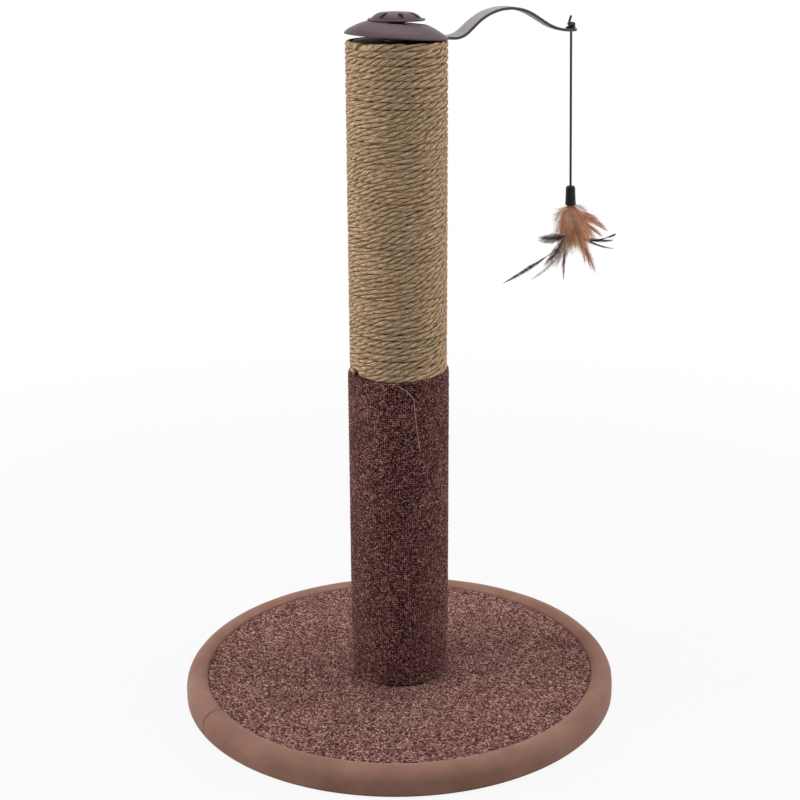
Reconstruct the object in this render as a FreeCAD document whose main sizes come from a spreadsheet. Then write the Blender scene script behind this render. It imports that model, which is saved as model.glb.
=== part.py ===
import FreeCAD, Part, Sketcher
import math
import os
import re

# Cat scratching post: a padded round base, a card tube dressed in carpet and seagrass rope,
# and a swivelling head whose springy arm dangles a feather toy on a cord.
# Millimetres, +Z up, origin on the floor at the middle of the base's underside.

doc = FreeCAD.newDocument("cat_scratching_post")

# ---------------------------------------------------------------- driving dimensions
SIZES = {
    # base
    "base_radius": 200.0,           # outside of the padded rim
    "board_thickness": 15.0,
    "board_inset": 16.0,            # board edge inside the rim's outside
    "cloth_thickness": 1.2,         # suede cloth that wraps the rim
    "roll_radius": 12.3,            # the rim's round section
    "rim_width": 20.1,              # rim seen from above, up to the carpet
    "hem_reach": 32.0,              # the cloth's turned-in hem underneath, from the outside
    "base_pile": 5.8,               # carpet on the base
    "cloth_gap": 0.2,               # between layers that curve round each other
    # joint of the base and the post
    "bolt_radius": 4.0,
    "bolt_length": 40.0,
    "bolt_head_flats": 13.0,
    "bolt_head_depth": 5.3,
    "bolt_hole_slack": 0.5,
    "washer_radius": 12.0,
    "washer_thickness": 1.6,
    "recess_radius": 14.0,          # counterbore under the board
    "recess_depth": 7.0,
    "tee_flange_radius": 9.5,
    "tee_flange_thickness": 1.5,
    "tee_barrel_radius": 5.0,
    "tee_barrel_length": 12.0,
    "tee_prong_length": 6.0,
    "tee_prong_count": 4.0,
    # post
    "tube_radius": 38.1,
    "tube_wall": 4.0,
    "tube_length": 575.0,
    "plug_slack": 0.15,
    "bottom_plug_height": 20.0,
    "post_pile": 7.3,               # carpet round the lower half
    "carpet_sleeve_length": 294.0,
    "rope_diameter": 5.1,
    "tack_radius": 0.8,
    "tack_length": 14.0,
    "tack_height": 10.0,            # above the plug's foot
    # top plug and stud
    "flange_inset": 1.3,            # flange edge inside the tube's outside
    "flange_thickness": 2.0,
    "skirt_wall": 2.4,
    "skirt_length": 20.0,
    "boss_radius": 8.0,
    "boss_length": 12.0,
    "rib_width": 2.0,
    "rib_count": 6.0,
    "stud_radius": 3.0,
    "stud_tail": 7.0,               # stud below the boss
    "stud_tip_gap": 1.0,            # between the stud's end and the knob's floor
    "thread_slack": 0.06,
    "stud_hole_slack": 0.2,
    "nut_flats": 10.0,
    "nut_height": 5.0,
    # swivel bush
    "bush_radius": 7.0,
    "bush_flange_radius": 12.0,
    "bush_flange_thickness": 1.0,
    "bush_length": 11.0,
    # toy head: cap and arm lean together towards the arm's side
    "arm_bearing": 25.0,            # the arm's direction from +X towards +Y, degrees
    "head_tilt": 4.5,               # degrees
    "arm_seat_gap": 0.285,          # arm's underside above the rope's last turn
    "cap_overhang": 0.5,            # cap's edge past the rope
    "cap_rise": 14.75,
    "cap_lip": 0.7,
    "cap_wall": 2.0,
    "seat_radius": 25.6,            # dished seat under the knob
    "seat_height": 9.6,
    "hub_radius": 13.6,
    "hub_bore": 8.5,
    "notch_slack": 0.3,
    "notch_reach": 8.0,             # how far the arm's notch runs in past the rim
    "screw_circle": 11.0,
    "screw_radius": 1.1,
    "screw_slack": 0.08,
    "screw_length": 7.0,
    "screw_head_radius": 2.3,
    "screw_head_height": 1.3,
    "arm_thickness": 2.4,
    "arm_below_rim": 0.5,
    "eye_radius": 17.0,
    "eye_bore": 8.0,
    "root_half_width": 13.9,        # where the straight taper leaves the eye
    "tip_half_width": 3.6,
    "root_overhang": 4.1,           # flat root past the rope, before the first bend
    "climb_angle": 44.5,
    "climb_bend": 20.0,
    "climb_run": 9.6,
    "crest_bend": 52.0,
    "fall_angle": 25.5,
    "fall_run": 13.0,
    "tip_bend": 51.0,
    "lift_angle": 14.4,
    "hole_inset": 4.9,              # toy's hole from the arm's end
    "hole_radius": 1.6,
    # knob
    "knob_lift": 16.5,              # brim's underside above the post's top
    "brim_radius": 24.0,
    "brim_thickness": 1.2,
    "knob_radius": 21.5,
    "knob_crown_radius": 11.0,
    "knob_shoulder_height": 5.3,
    "knob_height": 5.7,
    "knob_lower_bend_radius": 18.6, # the shoulder's two bends
    "knob_lower_bend_height": 2.8,
    "knob_upper_bend_radius": 15.0,
    "knob_upper_bend_height": 4.6,
    "knob_hollow_radius": 16.5,
    "knob_hollow_height": 1.9,
    "slot_count": 7.0,
    "slot_width": 3.0,
    "slot_inner": 12.6,
    "slot_outer": 20.2,
    "slot_depth": 1.7,
    "slot_bearing": 181.0,
    "insert_radius": 4.4,
    "insert_length": 9.0,
    # toy
    "cord_radius": 1.05,
    "pivot_drop": 1.5,              # the cord's bending point below the arm
    "pivot_gap": 0.3,
    "cord_drop": 135.7,             # pivot to the ferrule's top
    "cord_grip": 6.0,               # cord inside the ferrule
    "toy_lean": 1.6,                # degrees, outwards
    "knot_lift": 0.4,
    "knot_radius": 3.2,
    "knot_height": 6.7,
    "knot_tail": 7.2,
    "ferrule_radius": 4.3,
    "ferrule_foot_radius": 4.9,
    "ferrule_length": 19.2,
    "ferrule_shoulder": 2.6,
    "ferrule_bevel": 0.76,
    "ferrule_socket_radius": 3.7,
    "ferrule_socket_depth": 11.0,
    "quill_slack": 0.2,
    "vane_thickness": 0.9,
    "vane_blunt": 0.4,              # half a feather's width at its tip
    "vane_gap": 0.8,                # between a loose feather's root and the bunch's middle
    # staples
    "staple_wire": 0.7,
    "staple_crown": 10.0,
    "staple_leg": 7.0,
    "rim_staple_count": 28.0,
}

sheet = doc.addObject("Spreadsheet::Sheet", "Sizes")
for row, (alias, number) in enumerate(SIZES.items(), start=1):
    sheet.set(f"A{row}", alias)
    sheet.set(f"B{row}", str(number))
    sheet.setAlias(f"B{row}", alias)
doc.recompute()

# ---------------------------------------------------------------- derived heights and radii
DERIVED = {
    "board_radius": "base_radius - board_inset",
    "board_top": "cloth_thickness + board_thickness",
    "carpet_top": "board_top + base_pile",
    "carpet_radius": "base_radius - rim_width",
    "roll_middle": "base_radius - roll_radius",
    "hem_radius": "base_radius - hem_reach",
    "tuck_radius": "carpet_radius + cloth_gap",
    "tuck_outside": "tuck_radius + cloth_thickness",
    "padding_radius": "roll_radius - cloth_thickness - cloth_gap",
    "padding_inside": "tuck_outside + cloth_gap",
    "padding_edge": "board_radius + cloth_gap",
    "recess_top": "cloth_thickness + recess_depth",
    "bolt_hole_radius": "bolt_radius + bolt_hole_slack",
    "bolt_seat": "recess_top - washer_thickness",
    "plug_radius": "tube_radius - tube_wall - plug_slack",
    "flange_radius": "tube_radius - flange_inset",
    "plug_top": "carpet_top + bottom_plug_height",
    "tee_hole_radius": "tee_barrel_radius + plug_slack",
    "sleeve_bore": "tube_radius + cloth_gap",
    "sleeve_radius": "tube_radius + cloth_gap + post_pile",
    "rope_radius": "tube_radius + cloth_gap + rope_diameter",
    "sleeve_top": "carpet_top + carpet_sleeve_length",
    "tube_top": "carpet_top + tube_length",
    "post_top": "tube_top + flange_thickness",
    "boss_foot": "tube_top - boss_length",
    "stud_foot": "boss_foot - stud_tail",
    "stud_hole_radius": "stud_radius + stud_hole_slack",
    "bush_top": "post_top + bush_length",
    "head_lift": "(rope_radius - rope_diameter / 2) * tan(head_tilt) + arm_below_rim + arm_seat_gap",
    "cap_radius": "rope_radius + cap_overhang",
    "root_length": "rope_radius + root_overhang",
    "arm_top": "arm_thickness - arm_below_rim",
    "dome_sag": "cap_rise - cap_lip",
    "dome_radius": "(cap_radius ^ 2 + dome_sag ^ 2) / (2 * dome_sag)",
    "dome_drop": "dome_radius - cap_rise",
    "inner_radius": "dome_radius - cap_wall",
    "seat_rim_height": "sqrt(dome_radius ^ 2 - seat_radius ^ 2) - dome_drop",
    "roof_height": "seat_height - cap_wall",
    "roof_radius": "sqrt(inner_radius ^ 2 - (roof_height + dome_drop) ^ 2)",
    "mouth_radius": "sqrt(inner_radius ^ 2 - dome_drop ^ 2)",
    "eye_shoulder": "sqrt(eye_radius ^ 2 - root_half_width ^ 2)",
    "taper": "(root_half_width - tip_half_width) / (tip_x - tip_half_width - eye_shoulder)",
    "notch_inside": "mouth_radius - notch_reach",
    "notch_half_width": "root_half_width - taper * (notch_inside - eye_shoulder) + notch_slack",
    "climb_x": "root_length + climb_bend * sin(climb_angle)",
    "climb_z": "arm_top + climb_bend * (1 - cos(climb_angle))",
    "crest_x": "climb_x + climb_run * cos(climb_angle)",
    "crest_z": "climb_z + climb_run * sin(climb_angle)",
    "fall_x": "crest_x + crest_bend * (sin(climb_angle) + sin(fall_angle))",
    "fall_z": "crest_z + crest_bend * (cos(fall_angle) - cos(climb_angle))",
    "bottom_x": "fall_x + fall_run * cos(fall_angle)",
    "bottom_z": "fall_z - fall_run * sin(fall_angle)",
    "end_x": "bottom_x + tip_bend * (sin(fall_angle) + sin(lift_angle))",
    "end_z": "bottom_z - tip_bend * (cos(lift_angle) - cos(fall_angle))",
    "tip_x": "end_x - arm_thickness",
    "hole_x": "tip_x - hole_inset",
    "brim_foot": "post_top + knob_lift",
    "brim_top": "brim_foot + brim_thickness",
    "shoulder_top": "brim_top + knob_shoulder_height",
    "knob_top_height": "brim_top + knob_height",
    "hollow_top": "brim_foot + knob_hollow_height",
    "insert_top": "bush_top + insert_length",
    "insert_bore": "stud_radius + thread_slack",
    "ferrule_top": "0 - cord_drop",
    "ferrule_foot": "ferrule_top - ferrule_length",
    "socket_top": "ferrule_foot + ferrule_socket_depth",
    "quill_radius": "ferrule_socket_radius - quill_slack",
    "knot_seat": "pivot_drop + arm_thickness + knot_lift",
}


def formula(text):
    """Write a formula of size names out as one of the sheet's cells alone."""
    def expand(match):
        word = match.group(0)
        if word in SIZES:
            return "Sizes." + word
        if word in DERIVED:
            return "(" + formula(DERIVED[word]) + ")"
        return word
    return re.sub(r"[a-z_]+", expand, str(text))


def value(text):
    """The number that a formula of size names gives."""
    return float(sheet.evalExpression(formula(text).replace("Sizes.", "")))


def bind(thing, prop, text):
    thing.setExpression(prop, formula(text))


# ---------------------------------------------------------------- sketches and features
def origin_feature(body, role):
    return next(item for item in body.Origin.OriginFeatures if item.Role == role)


def new_body(name):
    body = doc.addObject("PartDesign::Body", name)
    body.Label = name
    return body


def new_sketch(body, name, plane):
    sketch = body.newObject("Sketcher::SketchObject", body.Label + "_" + name)
    sketch.AttachmentSupport = [(origin_feature(body, plane), "")]
    sketch.MapMode = "FlatFace"
    return sketch


def dimension(sketch, kind, *reference, text):
    """One constraint held by a formula; a zero is held by the sketch's own axis instead."""
    if kind in ("DistanceX", "DistanceY") and str(text) == "0":
        axis = -2 if kind == "DistanceX" else -1
        sketch.addConstraint(Sketcher.Constraint("PointOnObject", *reference[2:], axis))
        return
    index = sketch.addConstraint(Sketcher.Constraint(kind, *reference, value(text)))
    sketch.setExpression(f"Constraints[{index}]", formula(text))


def side(start, end, radius, turn):
    """A straight side, or an arc under half a turn: turn +1 goes anticlockwise, -1 clockwise.
    Also gives which of its two ends the outline reaches first."""
    first = FreeCAD.Vector(*start, 0)
    last = FreeCAD.Vector(*end, 0)
    if radius is None:
        return Part.LineSegment(first, last), 1, 2
    chord = last - first
    left = FreeCAD.Vector(-chord.y, chord.x, 0) / chord.Length
    reach = math.sqrt(max(radius ** 2 - (chord.Length / 2) ** 2, 0.0))
    middle = first + chord / 2 + left * reach * turn
    if turn < 0:
        first, last = last, first
    begin = math.atan2(first.y - middle.y, first.x - middle.x)
    finish = math.atan2(last.y - middle.y, last.x - middle.x)
    if finish < begin:
        finish += 2 * math.pi
    circle = Part.Circle(middle, FreeCAD.Vector(0, 0, 1), radius)
    return Part.ArcOfCircle(circle, begin, finish), (1 if turn > 0 else 2), (2 if turn > 0 else 1)


def outline(sketch, corners, arcs=None):
    """A closed outline: corners are pairs of formulas, and arcs gives a side's radius and turn."""
    arcs = arcs or {}
    points = [(value(across), value(up)) for across, up in corners]
    ends = []
    for number, start in enumerate(points):
        radius, turn = arcs.get(number, (None, 0))
        length = None if radius is None else value(radius)
        shape, head, tail = side(start, points[(number + 1) % len(points)], length, turn)
        ends.append((sketch.addGeometry(shape, False), head, tail))
    for number, (geometry, head, tail) in enumerate(ends):
        following = ends[(number + 1) % len(ends)]
        sketch.addConstraint(Sketcher.Constraint("Coincident", geometry, tail, following[0], following[1]))
    for number, (across, up) in enumerate(corners):
        geometry, head, tail = ends[number]
        dimension(sketch, "DistanceX", -1, 1, geometry, head, text=across)
        dimension(sketch, "DistanceY", -1, 1, geometry, head, text=up)
    for number, (radius, turn) in arcs.items():
        dimension(sketch, "Radius", ends[number][0], text=radius)


def ring(sketch, across, up, radius):
    """A circle at a place given by formulas."""
    middle = FreeCAD.Vector(value(across), value(up), 0)
    circle = Part.Circle(middle, FreeCAD.Vector(0, 0, 1), value(radius))
    geometry = sketch.addGeometry(circle, False)
    dimension(sketch, "DistanceX", -1, 1, geometry, 3, text=across)
    dimension(sketch, "DistanceY", -1, 1, geometry, 3, text=up)
    dimension(sketch, "Radius", geometry, text=radius)


def turned(name, corners, arcs=None):
    """A body turned round its Z axis from an outline of radius and height."""
    body = new_body(name)
    sketch = new_sketch(body, "section", "XZ_Plane")
    outline(sketch, corners, arcs)
    feature = body.newObject("PartDesign::Revolution", name + "_turned")
    feature.Profile = sketch
    feature.ReferenceAxis = (sketch, ["V_Axis"])
    feature.Angle = 360.0
    sketch.Visibility = False
    doc.recompute()
    return body


def sleeve(name, bore, radius, foot, top):
    return turned(name, [(bore, foot), (radius, foot), (radius, top), (bore, top)])


def cut(body, sketch, depth, both_ways=False, upwards=False):
    """Cut a sketch's outlines out of the body; it has to take some material away."""
    before = body.Shape.Volume
    feature = body.newObject("PartDesign::Pocket", sketch.Name + "_cut")
    feature.Profile = sketch
    feature.Midplane = both_ways
    feature.Reversed = upwards
    bind(feature, "Length", depth)
    sketch.Visibility = False
    doc.recompute()
    if not body.Shape.Volume < before:
        raise RuntimeError(f"{sketch.Name} cuts nothing")
    return feature


def pad(body, sketch, length, both_ways=False):
    feature = body.newObject("PartDesign::Pad", sketch.Name + "_pad")
    feature.Profile = sketch
    feature.Midplane = both_ways
    bind(feature, "Length", length)
    sketch.Visibility = False
    doc.recompute()
    return feature


def round_pattern(body, feature, count):
    pattern = body.newObject("PartDesign::PolarPattern", feature.Name + "_round")
    pattern.Originals = [feature]
    pattern.Axis = (origin_feature(body, "Z_Axis"), [""])
    pattern.Angle = 360.0
    bind(pattern, "Occurrences", count)
    body.Tip = pattern
    doc.recompute()
    return pattern


# ---------------------------------------------------------------- base
# Particle board disc, drilled for the bolt and counterbored underneath for its head.
turned("base_board", [
    ("recess_radius", "cloth_thickness"),
    ("board_radius", "cloth_thickness"),
    ("board_radius", "board_top"),
    ("bolt_hole_radius", "board_top"),
    ("bolt_hole_radius", "recess_top"),
    ("recess_radius", "recess_top"),
])

sleeve("base_carpet", "bolt_hole_radius", "carpet_radius", "board_top", "carpet_top")

ROLL_STEPS = (-90, -60, -30, 0, 30, 60, 90)    # degrees round the roll, to keep its facets few


def round_roll(radius):
    """Corners round the rim's roll at a radius, from underneath, outwards and up over the top."""
    return [(f"roll_middle + ({radius}) * cos({step})", f"roll_radius + ({radius}) * sin({step})")
            for step in ROLL_STEPS]


def beside_roll(radius, across, way):
    """The roll's corner at a distance from the post's axis, above (+) or below (-) its middle."""
    return (across, f"roll_radius {way} sqrt(({radius}) ^ 2 - (roll_middle - {across}) ^ 2)")


# Foam strip round the board's edge, under the cloth.
turned("rim_padding", [beside_roll("padding_radius", "padding_edge", "-")] + round_roll("padding_radius") + [
    beside_roll("padding_radius", "padding_inside", "+"),
    ("padding_inside", "board_top"),
    ("padding_edge", "board_top"),
])

# Suede cloth: tucked down beside the carpet, over the roll, and turned in underneath as a hem.
INSIDE_ROLL = "roll_radius - cloth_thickness"
turned("rim_cover", [
    ("tuck_radius", "board_top"),
    beside_roll("roll_radius", "tuck_radius", "+"),
] + round_roll("roll_radius")[::-1] + [
    ("hem_radius", "0"),
    ("hem_radius", "cloth_thickness"),
] + round_roll(INSIDE_ROLL) + [
    beside_roll(INSIDE_ROLL, "tuck_outside", "+"),
    ("tuck_outside", "board_top"),
])


# ---------------------------------------------------------------- bolt, washer and tee nut
def hexagon(sketch, flats):
    """A regular hexagon round the sketch's origin, by its distance across flats."""
    half = f"({flats}) / 2"
    corner = f"({flats}) / sqrt(3)"
    outline(sketch, [
        (corner, "0"), (f"{corner} / 2", half), (f"0 - {corner} / 2", half),
        (f"0 - {corner}", "0"), (f"0 - {corner} / 2", f"0 - {half}"), (f"{corner} / 2", f"0 - {half}"),
    ])


def raise_to(body, height):
    """Stand a body that is made from z = 0 at a height given by a formula."""
    bind(body, "Placement.Base.z", height)


bolt = new_body("base_bolt")
shank = new_sketch(bolt, "shank", "XY_Plane")
ring(shank, "0", "0", "bolt_radius")
pad(bolt, shank, "bolt_length")
head = new_sketch(bolt, "head", "XY_Plane")
hexagon(head, "bolt_head_flats")
head_pad = pad(bolt, head, "bolt_head_depth")
head_pad.Reversed = True
raise_to(bolt, "bolt_seat")

sleeve("base_washer", "bolt_hole_radius", "washer_radius", "bolt_seat", "recess_top")

turned("bottom_plug", [
    ("bolt_hole_radius", "carpet_top"),
    ("plug_radius", "carpet_top"),
    ("plug_radius", "plug_top"),
    ("tee_hole_radius", "plug_top"),
    ("tee_hole_radius", "plug_top - tee_barrel_length - plug_slack"),
    ("bolt_hole_radius", "plug_top - tee_barrel_length - plug_slack"),
])

# The tee nut's flange lies on the plug, and its prongs are driven into the wood.
tee_nut = turned("bottom_tee_nut", [
    ("bolt_radius + thread_slack", "plug_top - tee_barrel_length"),
    ("tee_barrel_radius", "plug_top - tee_barrel_length"),
    ("tee_barrel_radius", "plug_top"),
    ("tee_flange_radius", "plug_top"),
    ("tee_flange_radius", "plug_top + tee_flange_thickness"),
    ("bolt_radius + thread_slack", "plug_top + tee_flange_thickness"),
])
prong = new_sketch(tee_nut, "prong", "XZ_Plane")
outline(prong, [
    ("tee_flange_radius - tee_flange_thickness", "plug_top"),
    ("tee_flange_radius - tee_flange_thickness / 2", "plug_top - tee_prong_length"),
    ("tee_flange_radius", "plug_top"),
])
prong_pad = pad(tee_nut, prong, "2 * tee_flange_thickness", both_ways=True)
round_pattern(tee_nut, prong_pad, "tee_prong_count")


# ---------------------------------------------------------------- post
sleeve("post_tube", "tube_radius - tube_wall", "tube_radius", "carpet_top", "tube_top")

sleeve("post_carpet", "sleeve_bore", "sleeve_radius", "carpet_top", "sleeve_top")

# The rope winding's outside: a close sleeve whose top edge is bevelled as the last turn is round.
TURN_BEVEL = "(1 - sqrt(0.5)) * rope_diameter / 2"
turned("seagrass_rope", [
    ("sleeve_bore", "sleeve_top"),
    ("rope_radius", "sleeve_top"),
    ("rope_radius", "post_top - rope_diameter / 2"),
    ("rope_radius - " + TURN_BEVEL, "post_top - " + TURN_BEVEL),
    ("rope_radius - rope_diameter / 2", "post_top"),
    ("sleeve_bore + " + TURN_BEVEL, "post_top - " + TURN_BEVEL),
    ("sleeve_bore", "post_top - rope_diameter / 2"),
])

# Moulded top plug: a flange on the tube's end, a skirt inside it and a ribbed boss for the stud.
top_plug = turned("top_plug", [
    ("stud_hole_radius", "boss_foot"),
    ("boss_radius", "boss_foot"),
    ("boss_radius", "tube_top"),
    ("plug_radius - skirt_wall", "tube_top"),
    ("plug_radius - skirt_wall", "tube_top - skirt_length"),
    ("plug_radius", "tube_top - skirt_length"),
    ("plug_radius", "tube_top"),
    ("flange_radius", "tube_top"),
    ("flange_radius", "post_top"),
    ("stud_hole_radius", "post_top"),
])
rib = new_sketch(top_plug, "rib", "XZ_Plane")
outline(rib, [
    ("boss_radius - skirt_wall / 2", "boss_foot"),
    ("plug_radius - skirt_wall / 2", "boss_foot"),
    ("plug_radius - skirt_wall / 2", "post_top - flange_thickness / 2"),
    ("boss_radius - skirt_wall / 2", "post_top - flange_thickness / 2"),
])
rib_pad = pad(top_plug, rib, "rib_width", both_ways=True)
round_pattern(top_plug, rib_pad, "rib_count")

stud = doc.addObject("Part::Cylinder", "post_stud")
bind(stud, "Radius", "stud_radius")
bind(stud, "Height", "insert_top - stud_foot - stud_tip_gap")
raise_to(stud, "stud_foot")

nut = new_body("stud_nut")
nut_flats = new_sketch(nut, "flats", "XY_Plane")
hexagon(nut_flats, "nut_flats")
ring(nut_flats, "0", "0", "stud_radius + thread_slack")
pad(nut, nut_flats, "nut_height")
raise_to(nut, "boss_foot - nut_height")

# Nylon bush that the knob clamps on the plug, so that the head stays free to turn round it.
turned("swivel_bush", [
    ("stud_hole_radius", "post_top"),
    ("bush_flange_radius", "post_top"),
    ("bush_flange_radius", "post_top + bush_flange_thickness"),
    ("bush_radius", "post_top + bush_flange_thickness"),
    ("bush_radius", "bush_top"),
    ("stud_hole_radius", "bush_top"),
])


# ---------------------------------------------------------------- toy head: arm and cap
HEAD_TURN = FreeCAD.Rotation(FreeCAD.Vector(0, 0, 1), value("arm_bearing"))
HEAD_LEAN = FreeCAD.Rotation(FreeCAD.Vector(0, 1, 0), value("head_tilt"))
HEAD = FreeCAD.Placement(FreeCAD.Vector(0, 0, value("post_top + head_lift")), HEAD_TURN.multiply(HEAD_LEAN))


def under(slope, across, up):
    """A corner of the strip's underside, square below a point of its top that has this slope."""
    return (f"{across} + arm_thickness * sin({slope})", f"{up} - arm_thickness * cos({slope})")


# The arm is one springy strip: its side view gives the wave, and its plan the eye and the taper.
arm = new_body("teaser_arm")
wave = new_sketch(arm, "wave", "XZ_Plane")
outline(wave, [
    ("0 - eye_radius - 1", "arm_top"),
    ("0 - eye_radius - 1", "arm_top - arm_thickness"),
    under("0", "root_length", "arm_top"),
    under("climb_angle", "climb_x", "climb_z"),
    under("climb_angle", "crest_x", "crest_z"),
    under("0 - fall_angle", "fall_x", "fall_z"),
    under("0 - fall_angle", "bottom_x", "bottom_z"),
    under("lift_angle", "end_x", "end_z"),
    ("end_x", "end_z"),
    ("bottom_x", "bottom_z"),
    ("fall_x", "fall_z"),
    ("crest_x", "crest_z"),
    ("climb_x", "climb_z"),
    ("root_length", "arm_top"),
], {2: ("climb_bend + arm_thickness", 1), 4: ("crest_bend - arm_thickness", -1),
    6: ("tip_bend + arm_thickness", 1), 8: ("tip_bend", -1),
    10: ("crest_bend", 1), 12: ("climb_bend", -1)})
pad(arm, wave, "2 * eye_radius", both_ways=True)
plan = new_sketch(arm, "plan", "XY_Plane")
MARGIN = "(eye_radius + cap_wall)"
outline(plan, [
    ("0 - " + MARGIN, "0 - " + MARGIN), ("end_x + eye_radius", "0 - " + MARGIN),
    ("end_x + eye_radius", MARGIN), ("0 - " + MARGIN, MARGIN),
])
outline(plan, [
    ("0 - eye_radius", "0"),
    ("eye_shoulder", "0 - root_half_width"),
    ("tip_x - tip_half_width", "0 - tip_half_width"),
    ("tip_x", "0"),
    ("tip_x - tip_half_width", "tip_half_width"),
    ("eye_shoulder", "root_half_width"),
], {0: ("eye_radius", 1), 2: ("tip_half_width", 1), 3: ("tip_half_width", 1), 5: ("eye_radius", 1)})
cut(arm, plan, "4 * crest_bend", both_ways=True)
bores = new_sketch(arm, "bores", "XY_Plane")
ring(bores, "0", "0", "eye_bore")
ring(bores, "0", "screw_circle", "screw_radius + screw_slack")
ring(bores, "0", "0 - screw_circle", "screw_radius + screw_slack")
ring(bores, "hole_x", "0", "hole_radius")
cut(arm, bores, "4 * crest_bend", both_ways=True)
arm.Placement = HEAD

# Saucer cap: a thin dome with a dished seat for the knob and a hub that stands on the arm's eye.
cap = turned("cap_dome", [
    ("mouth_radius", "0"),
    ("cap_radius", "0"),
    ("cap_radius", "cap_lip"),
    ("seat_radius", "seat_rim_height"),
    ("seat_radius", "seat_height"),
    ("hub_bore", "seat_height"),
    ("hub_bore", "arm_top"),
    ("hub_radius", "arm_top"),
    ("hub_radius", "roof_height"),
    ("roof_radius", "roof_height"),
], {2: ("dome_radius", 1)})
notch = new_sketch(cap, "notch", "XY_Plane")
outline(notch, [
    ("notch_inside", "0 - notch_half_width"), ("cap_radius + cap_wall", "0 - notch_half_width"),
    ("cap_radius + cap_wall", "notch_half_width"), ("notch_inside", "notch_half_width"),
])
cut(cap, notch, "arm_top + notch_slack", upwards=True)
pilots = new_sketch(cap, "pilots", "XY_Plane")
ring(pilots, "0", "screw_circle", "screw_radius + screw_slack")
ring(pilots, "0", "0 - screw_circle", "screw_radius + screw_slack")
cut(cap, pilots, "screw_length - arm_below_rim + notch_slack", upwards=True)
cap.Placement = HEAD


def code_part(name, shape, placement=FreeCAD.Placement()):
    """A piece, or a group of like pieces, whose shape is worked out here from the sheet."""
    feature = doc.addObject("Part::Feature", name)
    feature.Label = name
    feature.Shape = shape
    feature.Placement = placement
    return feature


# Two screws come up through the arm's eye into the cap's hub.
def cap_screw(side):
    middle = FreeCAD.Vector(0, side * value("screw_circle"), -value("arm_below_rim"))
    shank = Part.makeCylinder(value("screw_radius"), value("screw_length"), middle)
    head = Part.makeCylinder(value("screw_head_radius"), value("screw_head_height"), middle,
                             FreeCAD.Vector(0, 0, -1))
    return shank.fuse(head)


code_part("cap_screws", Part.makeCompound([cap_screw(1), cap_screw(-1)]), HEAD)


# ---------------------------------------------------------------- knob on the stud
knob = turned("top_knob", [
    ("insert_radius + thread_slack", "bush_top"),
    ("bush_radius", "bush_top"),
    ("bush_radius", "hollow_top"),
    ("knob_hollow_radius", "hollow_top"),
    ("knob_hollow_radius", "brim_foot"),
    ("brim_radius", "brim_foot"),
    ("brim_radius", "brim_top"),
    ("knob_radius", "brim_top"),
    ("knob_lower_bend_radius", "brim_top + knob_lower_bend_height"),
    ("knob_upper_bend_radius", "brim_top + knob_upper_bend_height"),
    ("knob_crown_radius", "shoulder_top"),
    ("0", "knob_top_height"),
    ("0", "insert_top"),
    ("insert_radius + thread_slack", "insert_top"),
])
slot = new_sketch(knob, "slot", "XZ_Plane")
outline(slot, [
    ("slot_inner", "shoulder_top - slot_depth"),
    ("slot_outer", "brim_top"),
    ("slot_outer", "knob_top_height + slot_depth"),
    ("slot_inner", "knob_top_height + slot_depth"),
])
slot_cut = cut(knob, slot, "slot_width", both_ways=True)
round_pattern(knob, slot_cut, "slot_count")
bind(knob, "Placement.Rotation.Angle", "slot_bearing")

sleeve("knob_insert", "insert_bore", "insert_radius", "bush_top", "insert_top")


# ---------------------------------------------------------------- toy on its cord
def tip_hole():
    """The middle of the hole on the arm's underside, in the head's own frame."""
    rise = (value("hole_x") - value("bottom_x")) / value("tip_bend")
    slope = math.asin(rise - math.sin(math.radians(value("fall_angle"))))
    fall = math.cos(math.radians(value("fall_angle"))) - math.cos(slope)
    top = value("bottom_z") + value("tip_bend") * fall
    return FreeCAD.Vector(value("hole_x"), 0, top - value("arm_thickness") / math.cos(slope))


BEARING = math.radians(value("arm_bearing"))
SWING_AXIS = FreeCAD.Vector(math.sin(BEARING), -math.cos(BEARING), 0)
PIVOT = HEAD.multVec(tip_hole()) - FreeCAD.Vector(0, 0, value("pivot_drop"))
TOY = FreeCAD.Placement(PIVOT, FreeCAD.Rotation(SWING_AXIS, value("toy_lean")))
print("pivot", tuple(round(x, 3) for x in PIVOT), "swing axis", tuple(round(x, 5) for x in SWING_AXIS))

# Round elastic, hanging straight from the bend below the arm into the ferrule.
cord = turned("toy_cord", [
    ("0", "ferrule_top - cord_grip"),
    ("cord_radius", "ferrule_top - cord_grip"),
    ("cord_radius", "0"),
    ("0", "cord_radius"),
], {2: ("cord_radius", 1)})
cord.Placement = TOY

ferrule = turned("toy_ferrule", [
    ("0", "socket_top"),
    ("ferrule_socket_radius", "socket_top"),
    ("ferrule_socket_radius", "ferrule_foot"),
    ("ferrule_foot_radius", "ferrule_foot"),
    ("ferrule_radius", "ferrule_top - ferrule_shoulder"),
    ("ferrule_radius - ferrule_bevel", "ferrule_top - ferrule_bevel"),
    ("ferrule_radius - ferrule_shoulder", "ferrule_top"),
    ("cord_radius + thread_slack", "ferrule_top"),
    ("cord_radius + thread_slack", "ferrule_top - cord_grip - thread_slack"),
    ("0", "ferrule_top - cord_grip - thread_slack"),
])
ferrule.Placement = TOY


# The cord's end is knotted above the arm: its stub comes up through the hole into a lumpy knot,
# wide, waisted and wide again, with two short tails.
def knot_piece(kind, name, lift, tilt=(0, 0, 1, 0), **lengths):
    piece = doc.addObject(kind, name)
    turn = FreeCAD.Rotation(FreeCAD.Vector(*tilt[:3]), tilt[3])
    piece.Placement = FreeCAD.Placement(FreeCAD.Vector(0, 0, value(lift)), turn)
    for prop, text in lengths.items():
        bind(piece, prop, text)
    return piece


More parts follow.
